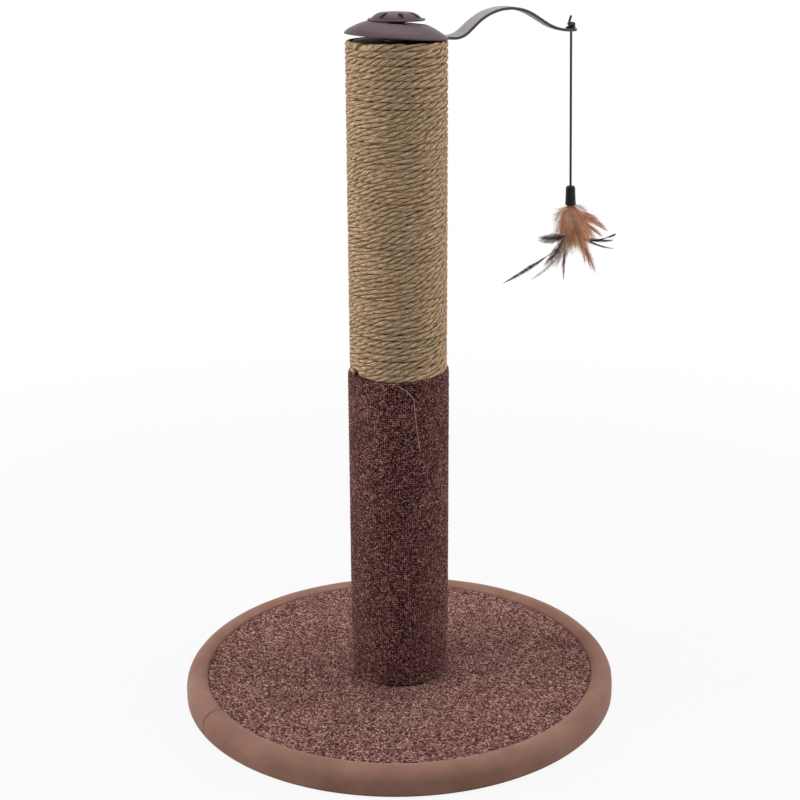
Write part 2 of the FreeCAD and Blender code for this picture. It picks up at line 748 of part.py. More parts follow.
# The lumps' outline: share of the knot's height, and of its radius.
LUMPS = [(0, 0.6), (0.25, 1), (0.55, 0.7), (0.75, 0.85), (1, 0.4)]
knot_parts = [knot_piece("Part::Cylinder", "knot_stub", "cord_radius + pivot_gap", Radius="cord_radius",
                         Height="knot_seat - pivot_gap")]
for number, ((foot, first), (top, last)) in enumerate(zip(LUMPS, LUMPS[1:])):
    knot_parts.append(knot_piece("Part::Cone", f"knot_lump_{number}", f"knot_seat + {foot} * knot_height",
                                 Radius1=f"{first} * knot_radius", Radius2=f"{last} * knot_radius",
                                 Height=f"{top - foot:.2f} * knot_height"))
for number, tilt in enumerate([(0, 1, 0, 11), (0.6, 1, 0, -9)]):
    knot_parts.append(knot_piece("Part::Cylinder", f"knot_tail_{number}", "knot_seat + knot_height / 2", tilt,
                                 Radius="cord_radius", Height="knot_tail"))
knot = doc.addObject("Part::MultiFuse", "cord_knot")
knot.Shapes = knot_parts
knot.Placement = FreeCAD.Placement(PIVOT, FreeCAD.Rotation(FreeCAD.Vector(0, 0, 1), value("arm_bearing")))


# ---------------------------------------------------------------- feathers
FOOT = value("ferrule_foot")


# The bunch's fluffy middle: depth below the ferrule's foot, and radius there.
CORE = [(0.5 - value("ferrule_socket_depth"), value("quill_radius")), (0.4, value("quill_radius")),
        (7.0, 7.5), (16.0, 11.5), (28.0, 14.0), (38.0, 11.0), (47.0, 5.0)]


def down_core():
    """The fluffy middle as one turned solid, its quills up in the ferrule's socket."""
    corners = [FreeCAD.Vector(radius, 0, FOOT - drop) for drop, radius in CORE]
    corners.insert(0, FreeCAD.Vector(0, 0, corners[0].z))
    corners.append(FreeCAD.Vector(0, 0, corners[-1].z))
    corners.append(corners[0])
    face = Part.Face(Part.makePolygon(corners))
    return face.revolve(FreeCAD.Vector(0, 0, 0), FreeCAD.Vector(0, 0, 1), 360)


def core_radius(drop):
    """The middle's radius at a depth, or nothing above and below it."""
    for (upper, first), (lower, last) in zip(CORE, CORE[1:]):
        if upper <= drop <= lower:
            return first + (last - first) * (drop - upper) / (lower - upper)
    return 0.0


def surface_point(root, along):
    """Where a line from the bunch's middle has come out of it by the feathers' own gap."""
    steps = 200
    for step in range(steps):
        point = root + along * (step / steps)
        if math.hypot(point.x, point.y) > core_radius(FOOT - point.z) + value("vane_gap"):
            return point
    raise RuntimeError("a feather ends inside the bunch's middle")


def vane(drop, tip, width, bow, loose=False):
    """One feather: a thin leaf between two arcs, out to its blunt tip. It starts on the bunch's
    axis at this depth, or, when it's a loose piece, where it comes out of the middle."""
    root = FreeCAD.Vector(0, 0, FOOT - drop)
    end = FreeCAD.Vector(tip[0], tip[1], tip[2] + FOOT)
    if loose:
        root = surface_point(root, end - root)
    along = end - root
    blunt = value("vane_blunt")
    length = along.Length
    corners = [FreeCAD.Vector(x, y, 0) for x, y in ((0, -blunt), (length, -blunt), (length, blunt), (0, blunt))]
    lower = Part.Arc(corners[0], FreeCAD.Vector(length / 2, bow - width / 2, 0), corners[1])
    upper = Part.Arc(corners[2], FreeCAD.Vector(length / 2, bow + width / 2, 0), corners[3])
    ends = [Part.LineSegment(corners[1], corners[2]), Part.LineSegment(corners[3], corners[0])]
    edges = [lower.toShape(), ends[0].toShape(), upper.toShape(), ends[1].toShape()]
    leaf = Part.Face(Part.Wire(edges))
    thick = value("vane_thickness")
    leaf.translate(FreeCAD.Vector(0, 0, -thick / 2))
    solid = leaf.extrude(FreeCAD.Vector(0, 0, thick))
    across = FreeCAD.Vector(0, 1, 0).cross(along).normalize()
    turn = FreeCAD.Rotation(along, across, along.cross(across), "XYZ")
    solid.Placement = FreeCAD.Placement(root, turn)
    return solid


# Depth of the root below the ferrule's foot; the tip from the foot's middle: across, away and
# down; then width and bow.
GINGER = [(6.0, (35.6, 4.0, -25.2), 9.0, 3.0), (6.0, (24.0, -6.0, -58.5), 10.0, 2.0),
          (6.0, (6.0, 24.0, -42.0), 9.0, 2.0)]
DARK = [(6.0, (-59.0, -10.0, -66.6), 6.5, 1.5), (26.0, (-24.0, -6.0, -27.0), 9.0, 0.0),
        (6.0, (42.4, -12.0, -21.2), 2.2, -1.5), (6.0, (42.0, 19.0, -41.0), 2.2, -1.5),
        (6.0, (-14.0, 22.0, -44.0), 8.0, 2.0)]
PALE = [(6.0, (-34.0, 9.0, -69.9), 3.0, 2.4), (6.0, (-4.0, -8.0, -63.4), 4.0, -1.0),
        (6.0, (-20.0, -14.0, -44.0), 8.0, 2.0)]

code_part("ginger_feathers", down_core().fuse([vane(*feather) for feather in GINGER]).removeSplitter(), TOY)
for name, feathers in (("dark_feathers", DARK), ("pale_feathers", PALE)):
    code_part(name, Part.makeCompound([vane(*feather, loose=True) for feather in feathers]), TOY)


# ---------------------------------------------------------------- tacks and staples
def tack(bearing):
    """A round tack driven level through the tube into the bottom plug."""
    angle = math.radians(bearing)
    out = FreeCAD.Vector(math.cos(angle), math.sin(angle), 0)
    head = out * value("tube_radius") + FreeCAD.Vector(0, 0, value("carpet_top + tack_height"))
    return Part.makeCylinder(value("tack_radius"), value("tack_length"), head, out * -1)


code_part("plug_tacks", Part.makeCompound([tack(90.0 * step + 45.0) for step in range(4)]))


def staple(middle, along, inwards):
    """A wire staple: a crown of square wire and two legs that point inwards."""
    wire = value("staple_wire")
    crown = value("staple_crown")
    leg = value("staple_leg")
    corners = [(0, 0), (crown, 0), (crown, leg), (crown - wire, leg), (crown - wire, wire),
               (wire, wire), (wire, leg), (0, leg)]
    points = [FreeCAD.Vector(x - crown / 2, y, -wire / 2) for x, y in corners]
    face = Part.Face(Part.makePolygon(points + points[:1]))
    solid = face.extrude(FreeCAD.Vector(0, 0, wire))
    solid.Placement = FreeCAD.Placement(middle, FreeCAD.Rotation(along, inwards, along.cross(inwards), "XYZ"))
    return solid


UP = FreeCAD.Vector(0, 0, 1)


def rim_staple(number):
    """One staple pressed into the cloth's hem from underneath."""
    angle = 2 * math.pi * number / value("rim_staple_count")
    out = FreeCAD.Vector(math.cos(angle), math.sin(angle), 0)
    middle = out * value("hem_radius + staple_crown") + UP * value("cloth_thickness / 4")
    return staple(middle, out.cross(UP), UP)


def rope_staple(height):
    """One staple that pins an end of the rope through its last turn, at the back of the post."""
    back = FreeCAD.Vector(0, 1, 0)
    middle = back * value("rope_radius - staple_wire") + UP * height
    return staple(middle, FreeCAD.Vector(1, 0, 0), back * -1)


code_part("rim_staples", Part.makeCompound([rim_staple(n) for n in range(int(value("rim_staple_count")))]))
ROPE_ENDS = [value("sleeve_top + rope_diameter / 2"), value("post_top - rope_diameter / 2")]
code_part("rope_staples", Part.makeCompound([rope_staple(height) for height in ROPE_ENDS]))

# ---------------------------------------------------------------- checks and export
NODES = [
    "base_board", "base_carpet", "rim_padding", "rim_cover", "rim_staples", "base_bolt", "base_washer",
    "bottom_plug", "bottom_tee_nut", "plug_tacks", "post_tube", "post_carpet", "seagrass_rope",
    "rope_staples", "top_plug", "post_stud", "stud_nut", "swivel_bush", "teaser_arm", "cap_dome",
    "cap_screws", "top_knob", "knob_insert", "cord_knot", "toy_cord", "toy_ferrule",
    "ginger_feathers", "dark_feathers", "pale_feathers",
]
doc.recompute()
for thing in doc.Objects:
    if "Invalid" in thing.State or "Error" in thing.State:
        raise RuntimeError(f"{thing.Label} failed: {thing.State}")
os.makedirs("parts", exist_ok=True)
for name in NODES:
    node = doc.getObject(name)
    shape = node.Shape
    if shape.isNull() or not shape.isValid() or not shape.Solids:
        raise RuntimeError(f"{name} is not a sound solid")
    shape.exportStep(f"parts/{name}.step")
    box = shape.BoundBox
    print(f"{name:16s} solids {len(shape.Solids):2d} volume {shape.Volume / 1000:10.3f} cm3"
          f"  z {box.ZMin:7.2f} to {box.ZMax:7.2f}  x {box.XMin:7.2f} to {box.XMax:7.2f}")
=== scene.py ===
from math import cos, hypot, pi, radians, sin, sqrt

import bmesh
import bpy
import numpy as np
from mathutils import Euler, Matrix, Vector


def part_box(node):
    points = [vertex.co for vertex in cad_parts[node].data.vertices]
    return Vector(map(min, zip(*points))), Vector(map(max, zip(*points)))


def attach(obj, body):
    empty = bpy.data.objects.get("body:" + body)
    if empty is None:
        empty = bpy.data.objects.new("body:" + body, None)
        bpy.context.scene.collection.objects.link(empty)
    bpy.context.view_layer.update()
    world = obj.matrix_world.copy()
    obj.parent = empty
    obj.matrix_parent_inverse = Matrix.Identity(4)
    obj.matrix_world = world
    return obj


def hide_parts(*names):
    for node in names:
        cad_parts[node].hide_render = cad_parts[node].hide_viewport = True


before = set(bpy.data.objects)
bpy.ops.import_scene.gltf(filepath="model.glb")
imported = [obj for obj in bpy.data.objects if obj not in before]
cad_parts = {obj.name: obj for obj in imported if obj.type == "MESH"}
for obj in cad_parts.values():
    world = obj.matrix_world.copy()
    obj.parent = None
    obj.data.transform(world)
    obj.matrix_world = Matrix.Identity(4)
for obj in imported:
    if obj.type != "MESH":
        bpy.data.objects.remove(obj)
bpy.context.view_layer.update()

scene = bpy.context.scene

# ---------------------------------------------------------------- camera
# A short telephoto stands a little above the cap, 1.34 m in front of the post, and looks down
# at the base; the post stands left of the picture's middle, so the frame is shifted.
camera_data = bpy.data.cameras.new("studio_camera")
camera_data.lens = 70.48
camera_data.sensor_width = 36.0
camera_data.shift_x = -0.0550
camera = bpy.data.objects.new("studio_camera", camera_data)
camera.location = (0.04065, -1.33691, 0.71182)
camera_pitch = Euler((radians(90.0 - 17.75), 0.0, 0.0)).to_matrix()
camera.rotation_euler = (camera_pitch @ Matrix.Rotation(radians(0.2), 3, "Z")).to_euler()
scene.collection.objects.link(camera)
scene.camera = camera

# ---------------------------------------------------------------- toy cord
# Round braided elastic, 2.1 mm thick, that hangs from the arm's tip into the ferrule. It is
# stiff enough to keep the slight outward lean that it has where it leaves the sloping hole.


def linear(code):
    """The linear RGBA of an sRGB hex colour."""
    channels = np.array([int(code[place:place + 2], 16) for place in (1, 3, 5)]) / 255.0
    light = np.where(channels <= 0.04045, channels / 12.92, ((channels + 0.055) / 1.055) ** 2.4)
    return (*light.tolist(), 1.0)


def new_material(name, colour, **sockets):
    """A material's tree and its shader, with the sockets that are the same all over."""
    material = bpy.data.materials.new(name)
    material.use_nodes = True
    shader = material.node_tree.nodes["Principled BSDF"]
    shader.inputs["Base Color"].default_value = linear(colour)
    for socket, level in sockets.items():
        shader.inputs[socket.replace("_", " ").title().replace("Ior", "IOR")].default_value = level
    return material, shader


def add_node(material, kind, inputs, stops=(), **settings):
    """One node with its settings: each input takes a value, or the (node, output) that feeds it."""
    node = material.node_tree.nodes.new("ShaderNode" + kind)
    for name, setting in settings.items():
        setattr(node, name, setting)
    for socket, given in inputs.items():
        if isinstance(given, tuple) and isinstance(given[0], bpy.types.Node):
            material.node_tree.links.new(given[0].outputs[given[1]], node.inputs[socket])
        else:
            node.inputs[socket].default_value = given
    for number, (place, code) in enumerate(stops):
        elements = node.color_ramp.elements
        element = elements[number] if number < len(elements) else elements.new(place)
        element.position = place
        element.color = linear(code)
    return node


def texture(material, kind, scale, inputs=(), **settings):
    """A procedural texture that is laid out in the piece's own metres."""
    place = add_node(material, "TexCoord", {})
    given = {"Vector": (place, "Object"), "Scale": scale, **dict(inputs)}
    return add_node(material, "Tex" + kind, given, **settings)


def shade_of(material):
    """The attribute shade of the piece's points, as a (node, output) pair like those below."""
    return add_node(material, "Attribute", {}, attribute_name="shade"), "Fac"


def ramp(material, source, stops):
    """The colours of some stops, over a source that runs from 0 to 1."""
    return add_node(material, "ValToRGB", {"Fac": source}, stops=stops), "Color"


def combine(material, operation, *values):
    """Arithmetic on two or three numbers or (node, output) pairs."""
    return add_node(material, "Math", dict(enumerate(values)), operation=operation), "Value"


def blend(material, kind, share, under, over):
    """Two colours, with a share of the second laid over the first."""
    given = {0: share, 6: under, 7: over}
    return add_node(material, "Mix", given, data_type="RGBA", blend_type=kind), 2


def rescale(material, source, low, high, new_low, new_high, **settings):
    """A number carried from one range to another in proportion."""
    given = {"Value": source, "From Min": low, "From Max": high, "To Min": new_low, "To Max": new_high}
    return add_node(material, "MapRange", given, **settings), "Result"


def bump(material, height, strength, distance, invert=False):
    """Relief that stands up by the distance, in metres, where the height is 1."""
    given = {"Height": height, "Strength": strength, "Distance": distance}
    return add_node(material, "Bump", given, invert=invert), "Normal"


def wire_up(material, shader, **sources):
    """Feeds the shader's sockets from (node, output) pairs."""
    for socket, (node, output) in sources.items():
        target = shader.inputs[socket.replace("_", " ").title()]
        material.node_tree.links.new(node.outputs[output], target)


def relief_material(name, colour, grain, output, strength, distance, **sockets):
    """One plain colour with the relief of one texture; grain is what the texture is called with."""
    material, shader = new_material(name, colour, **sockets)
    kind, scale, inputs, settings = grain
    height = (texture(material, kind, scale, inputs, **settings), output)
    wire_up(material, shader, normal=bump(material, height, strength, distance))
    return material


# The braid's ridges lie 1 mm apart.
braid = ("Wave", 366.7, {"Distortion": 1.0}, {"bands_direction": "DIAGONAL"})
elastic = relief_material("braided_elastic", "#151213", braid, "Fac", 0.5, 0.0002, roughness=0.62)


def put_in_scene(name, data, body, replaced=()):
    """An object that rides on a body and stands for CAD nodes, which it hides."""
    piece = bpy.data.objects.new(name, data)
    scene.collection.objects.link(piece)
    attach(piece, body)
    if replaced:
        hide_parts(*replaced)
    return piece


def cord_curve(name, lines, radius, material):
    """Round cords, each along one smooth NURBS line, whose points are in metres."""
    curve = bpy.data.curves.new(name, "CURVE")
    curve.dimensions = "3D"
    curve.bevel_depth = radius
    curve.bevel_resolution = 4
    curve.resolution_u = 12
    curve.use_fill_caps = True
    for points in lines:
        spline = curve.splines.new("NURBS")
        spline.points.add(len(points) - 1)
        spline.points.foreach_set("co", np.column_stack([points, np.ones(len(points))]).ravel())
        spline.order_u = 3
        spline.use_endpoint_u = True
    curve.materials.append(material)
    return curve


MM = 0.001
CORD_RADIUS = 1.05 * MM
arm_bearing = radians(25.0)
arm_way = np.array([cos(arm_bearing), sin(arm_bearing), 0.0])
upwards = np.array([0.0, 0.0, 1.0])
pivot = np.array([0.151048, 0.070435, 0.599935])
toy_lean = radians(1.6)
toy_down = sin(toy_lean) * arm_way - cos(toy_lean) * upwards
toy_across = cos(toy_lean) * arm_way + sin(toy_lean) * upwards
toy_aside = np.cross(upwards, arm_way)
cord_drop = 0.1357
cord_grip = 0.006
cord_route = pivot + np.outer([0.0, 0.5 * cord_drop, cord_drop, cord_drop + cord_grip], toy_down)
toy_cord = put_in_scene("hanging_elastic", cord_curve("hanging_elastic", [cord_route], CORD_RADIUS, elastic),
                        "toy", ["toy_cord"])

# ---------------------------------------------------------------- knot above the arm
# The elastic comes up through the arm's hole and is tied off in a tight overhand knot with
# two short ends, so that it can't pull back through.
knot_turn = np.linspace(0.15, 2 * pi - 0.15, 26)
knot_reach = 1.35 + 0.95 * np.cos(3 * knot_turn)
knot_loops = 1.5 * np.column_stack([
    knot_reach * np.cos(2 * knot_turn), knot_reach * np.sin(2 * knot_turn), 1.35 * np.sin(3 * knot_turn)])
knot_middle = (0.0, 0.0, 6.6)
knot_stub = [(0.0, 0.0, 0.1), (0.0, 0.0, 1.6), (0.0, 0.0, 3.2)]
knot_tail = [(-2.2, 0.2, 9.6), (-1.0, 0.3, 12.0), (-0.4, 0.0, 15.0)]
knot_short_end = [(-3.4, -0.6, 5.4), (-4.2, -0.8, 3.8), (-4.6, -0.8, 2.9)]
knot_lines = [pivot + MM * np.vstack(line) for line in (
    [knot_stub, knot_middle + knot_loops, knot_tail], [knot_short_end])]
put_in_scene("overhand_knot", cord_curve("overhand_knot", knot_lines, CORD_RADIUS, elastic), "knot",
             ["cord_knot"])

# ---------------------------------------------------------------- studio
# A pale floor and three large soft lamps; what the camera and the gloss see of the room is
# plain white, and the floor keeps the post's soft shadow.


def glow_where(paint, output, share, lit, glowing):
    """Ends a tree in a mix of its lit shader and a share of the glowing one."""
    mixed = add_node(paint, "MixShader", {0: share, 1: lit, 2: glowing})
    paint.node_tree.links.new(mixed.outputs[0], paint.node_tree.nodes[output].inputs[0])


white = linear("#FFFFFF")
floor_paint, floor_shader = new_material("white_studio_floor", "#BDBDBD", roughness=0.9)
floor_place = add_node(floor_paint, "TexCoord", {})
floor_length = add_node(floor_paint, "VectorMath", {0: (floor_place, "Object")}, operation="LENGTH")
floor_far = rescale(floor_paint, (floor_length, "Value"), 0.45, 1.3, 0.91, 1.0,
                    interpolation_type="SMOOTHSTEP")
floor_rays = add_node(floor_paint, "LightPath", {})
floor_seen = combine(floor_paint, "MAXIMUM", (floor_rays, "Is Camera Ray"), (floor_rays, "Is Glossy Ray"))
floor_glow = add_node(floor_paint, "Emission", {"Color": white, "Strength": 1.0})
glow_where(floor_paint, "Material Output", combine(floor_paint, "MULTIPLY", floor_far, floor_seen),
           (floor_shader, "BSDF"), (floor_glow, "Emission"))
floor_half = 20.0
floor_corners = [(across * floor_half, away * floor_half, 0.0)
                 for across, away in ((-1, -1), (1, -1), (1, 1), (-1, 1))]
floor_mesh = bpy.data.meshes.new("studio_floor")
floor_mesh.from_pydata(floor_corners, [], [(0, 1, 2, 3)])
floor_mesh.materials.append(floor_paint)
floor = bpy.data.objects.new("studio_floor", floor_mesh)
scene.collection.objects.link(floor)

lamp_aim = Vector((0.0, 0.0, 0.32))
for lamp_name, lamp_place, lamp_size, lamp_watts in (
        ("lamp_left", (-1.8, -0.35, 1.2), 1.4, 27.0),
        ("lamp_right", (1.8, 0.0, 1.1), 1.4, 20.0),
        ("lamp_top", (0.1, 0.5, 2.1), 1.2, 14.0)):
    lamp_data = bpy.data.lights.new(lamp_name, "AREA")
    lamp_data.size = lamp_size
    lamp_data.energy = lamp_watts
    lamp = bpy.data.objects.new(lamp_name, lamp_data)
    lamp.location = lamp_place
    lamp.rotation_euler = (lamp_aim - Vector(lamp_place)).to_track_quat("-Z", "Y").to_euler()
    scene.collection.objects.link(lamp)

room = bpy.data.worlds.new("white_room")
scene.world = room
room.use_nodes = True
room_light = room.node_tree.nodes["Background"]
room_light.inputs["Color"].default_value = white
room_light.inputs["Strength"].default_value = 0.34
room_view = add_node(room, "Background", {"Color": white, "Strength": 1.0})
room_rays = add_node(room, "LightPath", {})
room_seen = combine(room, "MAXIMUM", (room_rays, "Is Camera Ray"), (room_rays, "Is Glossy Ray"))
room_seen = combine(room, "MAXIMUM", room_seen, (room_rays, "Is Transmission Ray"))
glow_where(room, "World Output", room_seen, (room_light, "Background"), (room_view, "Background"))
scene.view_settings.view_transform = "Standard"

# ---------------------------------------------------------------- base carpet
# A disc of needled heather carpet glued on the board: brown, maroon and beige fibres mixed,
# cut short, so the surface is a mat of flecks that lie in every direction.


def grid_faces(rows, columns, closed_rows=False, closed_columns=False):
    """The quads between neighbouring points of a grid, whose rows or columns may close round."""
    row = np.arange(rows if closed_rows else rows - 1)[:, None]
    column = np.arange(columns if closed_columns else columns - 1)[None, :]
    below = (row + 1) % rows
    beside = (column + 1) % columns
    corners = ((row, column), (row, beside), (below, beside), (below, column))
    numbers = np.broadcast_arrays(*(first * columns + second for first, second in corners))
    return np.stack(numbers, -1).reshape(-1, 4)


def mesh_piece(name, points, faces, shades, material, body, slot, replaced, lay=None, weld=False):
    """A smooth mesh from points in millimetres and faces. shades is one number for each point, as
    the attribute shade, and lay is a pair for each, as the UV map. weld closes seams and poles."""
    mesh = bpy.data.meshes.new(name)
    points = np.asarray(points, float).reshape(-1, 3) * MM
    mesh.from_pydata(points.tolist(), [], faces.tolist() if hasattr(faces, "tolist") else faces)
    if shades is not None:
        attribute = mesh.attributes.new("shade", "FLOAT", "POINT")
        attribute.data.foreach_set("value", np.asarray(shades, np.float32).ravel())
    if lay is not None:
        corners = np.empty(len(mesh.loops), np.int32)
        mesh.loops.foreach_get("vertex_index", corners)
        layer = mesh.uv_layers.new(name="lay")
        layer.data.foreach_set("uv", np.asarray(lay, np.float32).reshape(-1, 2)[corners].ravel())
    if weld:
        shell = bmesh.new()
        shell.from_mesh(mesh)
        bmesh.ops.remove_doubles(shell, verts=shell.verts, dist=1e-7)
        bmesh.ops.recalc_face_normals(shell, faces=shell.faces)
        shell.to_mesh(mesh)
        shell.free()
    mesh.polygons.foreach_set("use_smooth", np.ones(len(mesh.polygons), bool))
    mesh.materials.append(material)
    mesh.update()
    return put_in_scene(name, mesh, body, replaced)


def full_turn(count):
    """Angles that share out a whole turn evenly."""
    return np.linspace(0.0, 2 * pi, count, endpoint=False)


def compass(angle):
    """Unit vectors that point out from the Z axis, and round it, at each angle."""
    flat = np.zeros(len(angle))
    out = np.column_stack([np.cos(angle), np.sin(angle), flat])
    return out, np.column_stack([-out[:, 1], out[:, 0], flat])


def turned_points(profile, angle):
    """A profile of radius and height, carried round the Z axis to each angle."""
    profile = np.asarray(profile, float)
    across = np.outer(profile[:, 0], np.cos(angle))
    away = np.outer(profile[:, 0], np.sin(angle))
    return np.stack([across, away, np.repeat(profile[:, 1:], len(angle), 1)], -1)


def fibres(roots, directions, widths, aside, shades):
    """Short flat fibres: each is one tapered quad from its root along its direction."""
    tips = roots + directions
    half = aside * (0.5 * widths)[:, None]
    points = np.stack([roots - half, roots + half, tips + half * 0.35, tips - half * 0.35], 1)
    return points.reshape(-1, 3), np.arange(len(roots) * 4).reshape(-1, 4), np.repeat(shades, 4)


def joined(*parts):
    """Sets of points, faces and shades as one set, whose faces count on from part to part."""
    points = [np.reshape(part[0], (-1, 3)) for part in parts]
    starts = np.cumsum([0] + [len(some) for some in points])
    faces = [part[1] + start for part, start in zip(parts, starts)]
    shades = [np.ravel(part[2]) for part in parts]
    return np.concatenate(points), np.concatenate(faces), np.concatenate(shades)


def carpet_material(name, tones, tuft, strength):
    """Mixed carpet fibres: tones run from dark to light over the shade of each tuft, which is
    three quarters of its own chance and a fifth of a wide patch's, plus the attribute shade."""
    material, shader = new_material(name, tones[1][1], roughness=0.95, sheen_weight=0.08, sheen_roughness=0.4,
                                    specular_ior_level=0.1)
    cells = texture(material, "Voronoi", 1.0 / (tuft * MM))
    speck = add_node(material, "SeparateColor", {"Color": (cells, "Color")})
    patch = texture(material, "Noise", 28.0, {"Detail": 3.0})
    level = combine(material, "MULTIPLY_ADD", (speck, "Red"), 0.75, shade_of(material))
    level = combine(material, "MULTIPLY_ADD", (patch, "Fac"), 0.2, level)
    level = combine(material, "SUBTRACT", level, 0.32)
    wire_up(material, shader, base_color=ramp(material, level, tones),
            normal=bump(material, (cells, "Distance"), strength, 0.0012, True))
    return material


base_tones = [(0.10, "#42201C"), (0.34, "#80504A"), (0.60, "#AE7F76"), (0.90, "#E6CABC")]
base_pile = carpet_material("needled_heather_carpet", base_tones, 1.4, 0.8)
base_low, base_high = np.array(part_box("base_carpet")) / MM
carpet_radius = base_high[0]
carpet_seed = np.random.default_rng(11)
hole_radius = 4.5
mat_height = base_high[2] - 1.6
# Rings are coarse under the post, and less than 2 mm apart where the carpet shows.
base_rings = np.concatenate([np.linspace(hole_radius, 40.0, 8), np.linspace(42.0, carpet_radius, 84)])
base_profile = [(hole_radius, base_low[2])] + [(ring, mat_height) for ring in base_rings]
base_profile += [(carpet_radius, base_low[2])]
base_points = turned_points(base_profile, full_turn(560))
base_jitter = carpet_seed.uniform(0.0, 1.0, base_points.shape[:2])
base_points[1:-1, :, 2] += 0.9 * base_jitter[1:-1]
base_faces = grid_faces(*base_jitter.shape, True, True)
# The fibres start beside the post and are spread evenly over the area.
fibre_count = 24000
fibre_area = carpet_seed.uniform((44.0 / carpet_radius) ** 2, 1.0, fibre_count)
fibre_out, _ = compass(carpet_seed.uniform(0.0, 2 * pi, fibre_count))
fibre_roots = fibre_out * (np.sqrt(fibre_area) * (carpet_radius - 2.2))[:, None]
fibre_roots[:, 2] = base_high[2] - carpet_seed.uniform(0.9, 1.7, fibre_count)
fibre_way, fibre_aside = compass(carpet_seed.uniform(0.0, 2 * pi, fibre_count))
fibre_run = fibre_way * carpet_seed.uniform(1.5, 4.0, fibre_count)[:, None]
fibre_run[:, 2] = carpet_seed.uniform(0.2, 1.0, fibre_count)
base_fibres = fibres(fibre_roots, fibre_run, carpet_seed.uniform(0.5, 1.2, fibre_count), fibre_aside,
                     carpet_seed.beta(0.8, 1.1, fibre_count) * 0.85 - 0.15)
base_parts = joined((base_points, base_faces, 0.3 * base_jitter), base_fibres)
mesh_piece("base_heather_carpet", *base_parts, base_pile, "root", "base_pile", ["base_carpet"])

# ---------------------------------------------------------------- post carpet
# The lower half wears a close dark maroon loop carpet, wrapped once round the tube and glued,
# its two edges butted in an upright seam at the back.
post_tones = [(0.10, "#200B0A"), (0.34, "#582C29"), (0.60, "#9C645E"), (0.90, "#E8C0B8")]
post_pile = carpet_material("maroon_loop_carpet", post_tones, 1.0, 1.0)
post_low, post_high = np.array(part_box("post_carpet")) / MM
post_radius = post_high[0]
sleeve_bore = 38.4
# The pile lies down under the rope's first turn, a little lower at the left.
pile_top = post_high[2] - 2.8
pile_lean, pile_low_side, lean_depth = 1.3, radians(205.0), 40.0
loop_seed = np.random.default_rng(23)
loop_rows, loop_columns = 290, 300
loop_heights = np.linspace(post_low[2], pile_top - 2.0, loop_rows)
post_profile = [(sleeve_bore, post_low[2])] + [(post_radius - 1.3, height) for height in loop_heights]
post_profile += [(post_radius - 1.7, pile_top - 0.8), (post_radius - 2.6, pile_top), (sleeve_bore, pile_top)]
post_rows = len(post_profile)
loop_angle = full_turn(loop_columns)
post_points = turned_points(post_profile, loop_angle)
loop_jitter = loop_seed.uniform(0.0, 1.0, (post_rows // 2 + 1, loop_columns // 2))
loop_jitter = np.repeat(np.repeat(loop_jitter, 2, 0), 2, 1)[:post_rows]
near_top = np.clip((post_points[..., 2] - pile_top + lean_depth) / lean_depth, 0.0, 1.0)
post_points[..., 2] -= pile_lean * np.cos(loop_angle - pile_low_side) * near_top
# A loop every other row and column stands out; the seam at the back lies a little deeper.
loop_peak = (np.arange(post_rows)[:, None] % 2) * (np.arange(loop_columns)[None] % 2)
seam_depth = 1.1 * np.exp(-((loop_angle - pi / 2) / 0.012) ** 2)
loop_rise = 0.5 * loop_peak + 0.5 * loop_jitter - seam_depth
loop_rise[[0, -2, -1]] = 0.0
post_points += loop_rise[..., None] * compass(loop_angle)[0]
post_faces = grid_faces(post_rows, loop_columns, True, True)
wisp_count = 9000
wisp_out, wisp_round = compass(loop_seed.uniform(0.0, 2 * pi, wisp_count))
wisp_roots = wisp_out * (post_radius - 1.1)
wisp_roots[:, 2] = loop_seed.uniform(post_low[2] + 1.0, pile_top - 2.5, wisp_count)
wisp_way = loop_seed.uniform(0.0, 2 * pi, wisp_count)
wisp_long = loop_seed.uniform(1.0, 2.6, wisp_count)
wisp_lift = loop_seed.uniform(0.2, 1.0, wisp_count)
wisp_run = wisp_round * (wisp_long * np.cos(wisp_way))[:, None] + wisp_out * wisp_lift[:, None]
wisp_run[:, 2] += wisp_long * np.sin(wisp_way)
wisp_aside = -wisp_round * np.sin(wisp_way)[:, None]
wisp_aside[:, 2] += np.cos(wisp_way)
post_wisps = fibres(wisp_roots, wisp_run, loop_seed.uniform(0.35, 0.8, wisp_count), wisp_aside,
                    loop_seed.beta(0.8, 1.2, wisp_count) * 0.9 - 0.15)
# One long pale fibre has come loose and lies down the front: angles in degrees, and heights.
stray_degrees = [271.1, 280.3, 288.5, 289.7, 292.1, 295.8]
stray_heights = [311.0, 306.4, 297.8, 286.7, 269.0, 250.0]
stray_steps = 31
stray_share = np.linspace(0.0, 5.0, stray_steps)
stray_angle = np.radians(np.interp(stray_share, np.arange(6), stray_degrees))
stray_height = np.interp(stray_share, np.arange(6), stray_heights)
stray_sides = []
for side in (-1, 1):
    stray_side = compass(stray_angle + side * 0.005)[0] * (post_radius + 0.2)
    stray_side[:, 2] = stray_height + side * 0.12
    stray_sides.append(stray_side)
post_stray = (np.stack(stray_sides, 1), grid_faces(stray_steps, 2), np.ones(2 * stray_steps))
post_parts = joined((post_points, post_faces, 0.14 * loop_jitter + 0.42 * loop_peak), post_wisps, post_stray)
mesh_piece("post_loop_carpet", *post_parts, post_pile, "root", "post_pile", ["post_carpet"])

